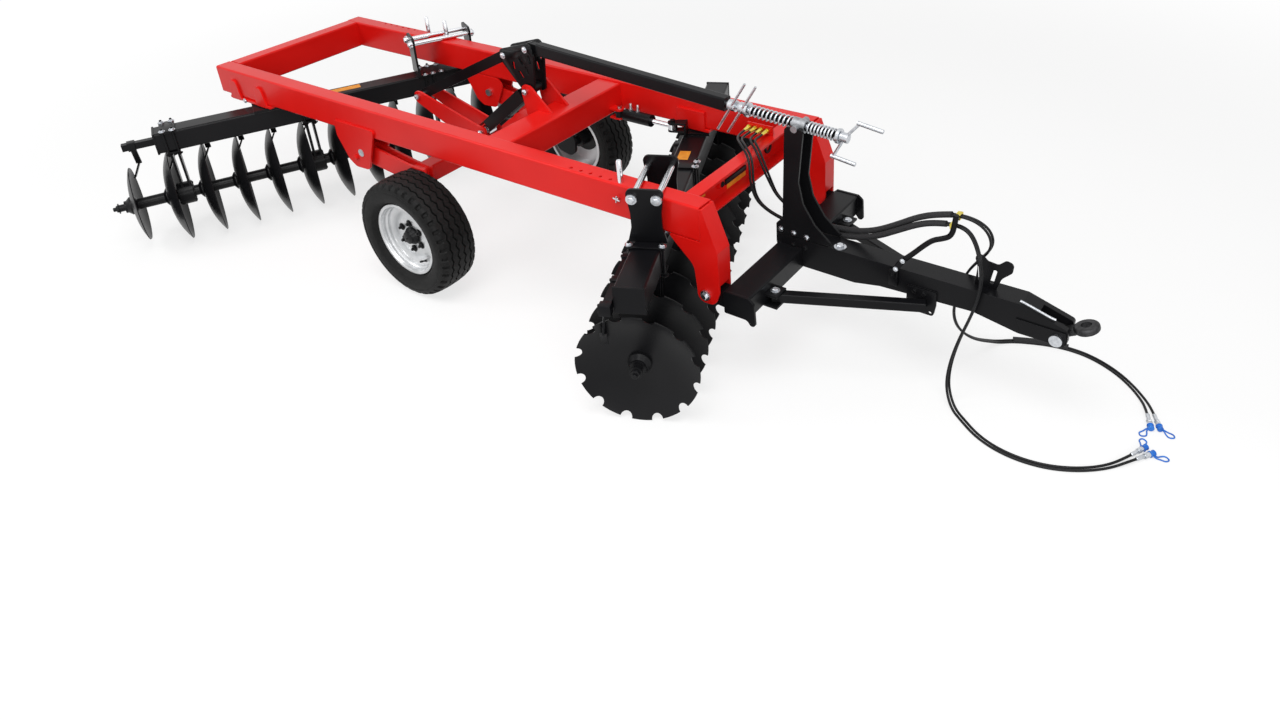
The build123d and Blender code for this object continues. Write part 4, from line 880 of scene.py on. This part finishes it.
def gangClamps(name):
    # cross plates on the beam, each held by threaded rods down both sides
    gang = gangs[name]
    place = gangMatrix(name)
    body = name + "_gang"
    shape = clampShape
    top = gangShape["beamTop"]
    under = top - gangShape["beamHigh"]
    seat = top + gangShape["plateHigh"]

    def middle(i):
        return (i + 0.5) * gangShape["pitch"] + gang["hollow"] * gangShape["clampShift"]

    nuts = []
    feet = []
    rods = bmesh.new()
    for i, offsets in gang["clamps"].items():
        for offset in offsets:
            for x in (-shape["rodOut"], shape["rodOut"]):
                foot, low, high, nutSeat = [place @ Vector((x, middle(i) + offset, z)) for z in (
                    under - shape["drop"], under - shape["footDrop"], top + shape["over"], seat)]
                rodBetween(rods, foot, high, shape["rodRadius"])
                nuts.append(axisPlace(nutSeat, (0, 0, 1)))
                feet.append(axisPlace(low, (0, 0, -1)))
    plates = bmesh.new()
    for i, low, high in gang["plates"]:
        boxBetween(plates, place, (-shape["plateHalf"], middle(i) + low, top + 0.0003),
                   (shape["plateHalf"], middle(i) + high, seat), 0.002)
    solid(name + "ClampRods", rods, "blackEnamel", body)
    solid(name + "ClampPlates", plates, "blackEnamel", body)
    repeatPiece(name + "ClampNuts", bolt, nuts, "brightZinc", body, 1.05)
    repeatPiece(name + "ClampFeet", bolt, feet, "blackEnamel", body, 1.05)


def gangBolts(name):
    gang = gangs[name]
    shape = gangShape
    place = gangMatrix(name)
    turn = place.to_3x3()
    body = name + "_gang"
    pitch = shape["pitch"]

    def seat(x, along, z, way=0):
        # faces along the shaft, or up where way is 0
        return axisPlace(place @ Vector((x, along, z)), turn @ Vector((0, way, 0 if way else 1)))

    housing = []
    for i in shape["bearings"]:
        for end in (-1, 1):
            for step in range(4):
                angle = math.pi / 2 * (step + 0.5)
                housing.append(seat(shape["housingCircle"] * math.cos(angle),
                                    (i + 0.5) * pitch + end * shape["housingFace"],
                                    shape["discHeight"] + shape["housingCircle"] * math.sin(angle), end))
    reach = gang["hollow"] * shape["scraperReach"]
    blocks = [place @ Matrix.Translation((shape["scraperX"], i * pitch + reach, shape["scraperZ"]))
              for i in range(gang["count"])]
    near, far = gang["rollers"]
    rollers = [seat(x, along, shape["rollerZ"], way)
               for along, way in ((near - shape["rollerOver"], -1), (far + shape["rollerOver"], 1))
               for x in (-shape["rollerHalf"], shape["rollerHalf"])]
    saddle = [seat(x, along, shape["beamTop"] + shape["saddleUp"])
              for along in gang["saddle"] for x in (-shape["saddleHalf"], shape["saddleHalf"])]
    last = (gang["count"] - 1) * pitch
    ends = [seat(0, along, shape["discHeight"], way)
            for along, way in ((-shape["shaftOver"], -1), (last + shape["shaftOver"], 1))]
    repeatPiece(name + "HousingBolts", bolt, housing, "hubEnamel", body, 0.6)
    repeatPiece(name + "ScraperBlocks", scraperBlock, blocks, "blackEnamel", body)
    repeatPiece(name + "RollerBolts", bolt, rollers, "brightZinc", body, 1.35)
    repeatPiece(name + "SaddleBolts", bolt, saddle, "brightZinc", body)
    repeatPiece(name + "ShaftNuts", nut, ends, "discEnamel", name + "_rotor", 1.7)


pinShape = dict(y=0.574, radius=0.015, high=0.124, chamfer=(0.004, 0.006))


def indexPins(name):
    # chrome pins that lock the gang's carriage on the long tube
    gang = gangs[name]
    radius = pinShape["radius"]
    high = pinShape["high"]
    inward, down = pinShape["chamfer"]
    bm = bmesh.new()
    for x in gang["pins"]:
        foot = spot(x, gang["pinSide"] * pinShape["y"], gangShape["frameTop"] + 0.0003)
        lathe(bm, axisPlace(foot, (0, 0, 1)),
              [(0, 0), (radius, 0), (radius, high - down), (radius - inward, high), (0, high)], 24)
    solid(name + "IndexPins", bm, "hardChrome", name + "_gang", 40)


def beamLabel(name):
    bm = bmesh.new()
    start, end = gangs[name]["label"]
    top = gangShape["beamTop"]
    boxBetween(bm, gangMatrix(name), (-0.045, start, top + 0.0001), (0.02, end, top + 0.0012))
    solid(name + "BeamLabel", bm, "orangeFilm", name + "_gang")


for gangName in gangs:
    gangClamps(gangName)
    gangBolts(gangName)
    indexPins(gangName)
print("gangs dressed")


# ---- bolts on the frame, axle, lift and drawbar

# body, finish, size, the way that the heads face, whether the other side has the same, and x, y, z
boltRows = {
    "earPinBolts": ("frame", "brightZinc", 1.35, "side", True, [(0.018, 0.6123, 0.53)]),
    "bracketBolts": ("frame", "redEnamel", 1.2, "side", True, [(-2.639, 0.6164, 0.661)]),
    "hangerBolts": ("frame", "brightZinc", 0.9, "side", False, [(-3.789, -0.6171, 0.817)]),
    "towerBolts": ("frame", "brightZinc", 1.0, "side", True, [(-1.602, 0.0941, 1.111)]),
    "rockerBolts": ("rocker", "brightZinc", 1.0, "side", True, [
        (-1.775, 0.0601, 1.301), (-1.586, 0.0601, 1.368)]),
    "leverBolts": ("axle", "brightZinc", 0.95, "side", True, [
        (-2.64, 0.0831, 0.871), (-2.072, 0.0831, 0.733)]),
    "mastBolts": ("drawbar", "brightZinc", 0.85, "side", True, [
        (0.131, 0.0601, 0.662), (0.208, 0.0601, 0.658), (0.284, 0.0601, 0.654)]),
    "mastFootBolts": ("drawbar", "blackEnamel", 0.85, "side", True, [
        (0.124, 0.0601, 0.577), (0.204, 0.0601, 0.586), (0.276, 0.0601, 0.59), (0.891, 0.0721, 0.54),
        (0.94, 0.0721, 0.538)]),
    "toeBolt": ("drawbar", "brightZinc", 1.6, "up", False, [(0.462, -0.028, 0.6321)]),
    "braceBolts": ("drawbar", "brightZinc", 1.25, "up", True, [(0.292, 0.395, 0.5254)]),
}


def makeBolts():
    for name, (body, finishName, size, facing, both, rows) in boltRows.items():
        places = []
        for x, y, z in rows:
            for side in ((-1, 1) if both else (1,)):
                outward = (0, 0, 1) if facing == "up" else (0, math.copysign(1, y * side), 0)
                places.append(axisPlace(spot(x, y * side, z), outward))
        repeatPiece(name, bolt, places, finishName, body, size)


# ---- front channel: bracket, bushing, strip and blank labels

# plates are name, finish, gap and thickness off the face, eased edge, and corners in Y and Z
channelShape = dict(
    face=-0.138, bolt=(-0.228, 0.942), boltOut=0.0261, bushing=(0.262, 0.935),
    bushingRows=[(0.018, 0.0003), (0.034, 0.0003), (0.034, 0.006), (0.031, 0.009), (0.021, 0.009),
                 (0.018, 0.006)],
    plates=[("channelBracket", "redEnamel", 0.0003, 0.026, 0.003, [((-0.25, 0.922), (-0.206, 0.962))]),
            ("channelStrip", "blackEnamel", 0.0003, 0.009, 0.002, [((-0.172, 0.905), (0.03, 0.933))]),
            ("channelLabels", "orangeFilm", 0.0001, 0.0012, 0.0,
             [((-0.15, 0.871), (0.03, 0.897)), ((-0.4, 0.928), (-0.348, 0.982))])])


def channelPlate(name, finishName, gap, out, edge, boxes):
    face = channelShape["face"]
    bm = bmesh.new()
    for low, high in boxes:
        machineBox(bm, (face + gap, *low), (face + out, *high), edge)
    solid(name, bm, finishName, "frame")


def channelFittings():
    face = channelShape["face"]
    bracket, strip, labels = channelShape["plates"]
    channelPlate(*bracket)
    seat = axisPlace(spot(face + channelShape["boltOut"], *channelShape["bolt"]), (1, 0, 0))
    repeatPiece("channelBolt", bolt, [seat], "blackEnamel", "frame", 0.8)
    bushing = bmesh.new()
    place = axisPlace(spot(face, *channelShape["bushing"]), (1, 0, 0))
    lathe(bushing, place, channelShape["bushingRows"], 32, ring=True)
    solid("channelBushing", bushing, "hoseRubber", "frame")
    channelPlate(*strip)
    channelPlate(*labels)


def sideClip():
    # small cross-handled pin in the near tube's side
    bm = bmesh.new()
    root = spot(-0.492, -0.6021, 0.94)
    middle = root + Vector((0, -0.018, 0))
    rodBetween(bm, root, root + Vector((0, -0.016, 0)), 0.0085)
    rodBetween(bm, middle + Vector((-0.022, 0, 0.004)), middle + Vector((0.022, 0, -0.004)), 0.0042)
    rodBetween(bm, middle + Vector((0.003, 0, 0.02)), middle + Vector((-0.003, 0, -0.018)), 0.0042)
    solid("sideClip", bm, "brightZinc", "frame")


tipShape = dict(
    out=0.0602, wall=0.0074, rodRadius=0.0058,
    plate=[(1.385, 0.552), (1.612, 0.548), (1.618, 0.52), (1.612, 0.476), (1.42, 0.476)],
    rod=[(1.392, -0.052, 0.645), (1.404, -0.05, 0.641), (1.47, -0.048, 0.62), (1.54, -0.048, 0.597),
         (1.556, -0.042, 0.592)])


def drawbarTip():
    # side plates at the hitch pin and the zinc keeper rod on the top edge
    bm = bmesh.new()
    faces = (tipShape["out"], tipShape["out"] + tipShape["wall"])
    for side in (-1, 1):
        extrude(bm, *[[spot(x, side * y, z) for x, z in tipShape["plate"]] for y in faces])
    solid("tipPlates", bm, "blackEnamel", "drawbar")
    route = [spot(*place) for place in tipShape["rod"]]
    rod = splineTube("keeperRod", route, tipShape["rodRadius"], sides=3)[0]
    finish(rod, "brightZinc", "drawbar")


def cylinderPorts():
    # two threaded unions on the angle cylinder
    bm = bmesh.new()
    for x in (-1.205, -1.15):
        place = axisPlace(spot(x, 0.395, 0.881), (0, 0, 1))
        lathe(bm, place, [(0, 0), (0.014, 0), (0.014, 0.014), (0, 0.014)], 6)
        lathe(bm, place, [(0, 0.014), (0.0095, 0.014), (0.0095, 0.046), (0.0075, 0.049), (0, 0.049)], 16)
    solid("cylinderPorts", bm, "brightZinc", "angle_barrel")


makeBolts()
channelFittings()
for gangName in gangs:
    beamLabel(gangName)
sideClip()
drawbarTip()
cylinderPorts()
for template in (bolt, nut, scraperBlock):
    bpy.data.objects.remove(template)
print("small fittings made")


# ---- floor, light and sky

studio = dict(floorHalf=40.0, floorTone=0.3, floorGlow=(0.72, 0.875), glowReach=(4.0, 10.0), sky=0.42,
              middle=(-2.75, 0.0, -0.569),
              lamps=[dict(place=(0.5, -3.0, 7.5), aim=(-2.0, 0.0, 0.3), size=(5.0, 4.0), power=330),
                     dict(place=(5.5, -5.5, 3.6), aim=(-0.5, 0.0, 0.4), size=(3.5, 3.0), power=170),
                     dict(place=(-6.5, -4.5, 5.0), aim=(-2.0, 0.0, 0.4), size=(3.0, 3.0), power=120)])


def showBackground(tree, lit, seen, target):
    # seen is what the camera, a reflection or glass shows, and lit is what lights the machine
    rays = tree.nodes.new("ShaderNodeLightPath")
    first = newNode(tree, "ShaderNodeMath", operation="MAXIMUM")
    second = newNode(tree, "ShaderNodeMath", operation="MAXIMUM")
    pick = tree.nodes.new("ShaderNodeMixShader")
    join(tree, (rays, "Is Camera Ray", first, 0), (rays, "Is Glossy Ray", first, 1), (first, 0, second, 0),
         (rays, "Is Transmission Ray", second, 1), (second, 0, pick, "Fac"), (lit, 0, pick, 1),
         (seen, 0, pick, 2), (pick, "Shader", target, "Surface"))


def makeFloor():
    half = studio["floorHalf"]
    corners = [spot(x * half, y * half, 0) for x, y in ((-1, -1), (1, -1), (1, 1), (-1, 1))]
    mesh = bpy.data.meshes.new("floor")
    mesh.from_pydata(corners, [], [(0, 1, 2, 3)])
    floor = newObject("floor", mesh)
    material, tree, shader = newMaterial("floorPaper", (studio["floorTone"],) * 3, 0.9, specular=0.0)
    # the glow grows where the lamps don't reach, so the floor stays white to its far edge
    coordinate = tree.nodes.new("ShaderNodeTexCoord")
    away = newNode(tree, "ShaderNodeVectorMath", {1: studio["middle"]}, operation="DISTANCE")
    reach = dict(zip(("From Min", "From Max", "To Min", "To Max"), studio["glowReach"] + studio["floorGlow"]))
    swell = newNode(tree, "ShaderNodeMapRange", reach, interpolation_type="SMOOTHSTEP")
    glow = tree.nodes.new("ShaderNodeEmission")
    total = tree.nodes.new("ShaderNodeAddShader")
    matte = newNode(tree, "ShaderNodeBsdfDiffuse", {"Color": (0.6, 0.6, 0.6, 1)})
    join(tree, (coordinate, "Object", away, 0), (away, "Value", swell, "Value"),
         (swell, "Result", glow, "Strength"), (shader, "BSDF", total, 0), (glow, "Emission", total, 1))
    showBackground(tree, matte, total, tree.nodes["Material Output"])
    floor.data.materials.append(material)


def makeSky():
    world = bpy.data.worlds.new("studioSky")
    bpy.context.scene.world = world
    world.use_nodes = True
    tree = world.node_tree
    soft = tree.nodes["Background"]
    soft.inputs["Color"].default_value = (1, 1, 1, 1)
    soft.inputs["Strength"].default_value = studio["sky"]
    white = newNode(tree, "ShaderNodeBackground", {"Color": (1, 1, 1, 1), "Strength": 1.0})
    showBackground(tree, soft, white, tree.nodes["World Output"])


def makeLamps():
    for index, lamp in enumerate(studio["lamps"]):
        data = bpy.data.lights.new("softbox" + str(index + 1), "AREA")
        data.shape = "RECTANGLE"
        data.size, data.size_y = lamp["size"]
        data.energy = lamp["power"]
        light = newObject(data.name, data)
        place = spot(*lamp["place"])
        light.matrix_world = axisPlace(place, place - spot(*lamp["aim"]))


makeFloor()
makeSky()
makeLamps()
bpy.context.scene.view_settings.view_transform = "Standard"
print("studio lit")
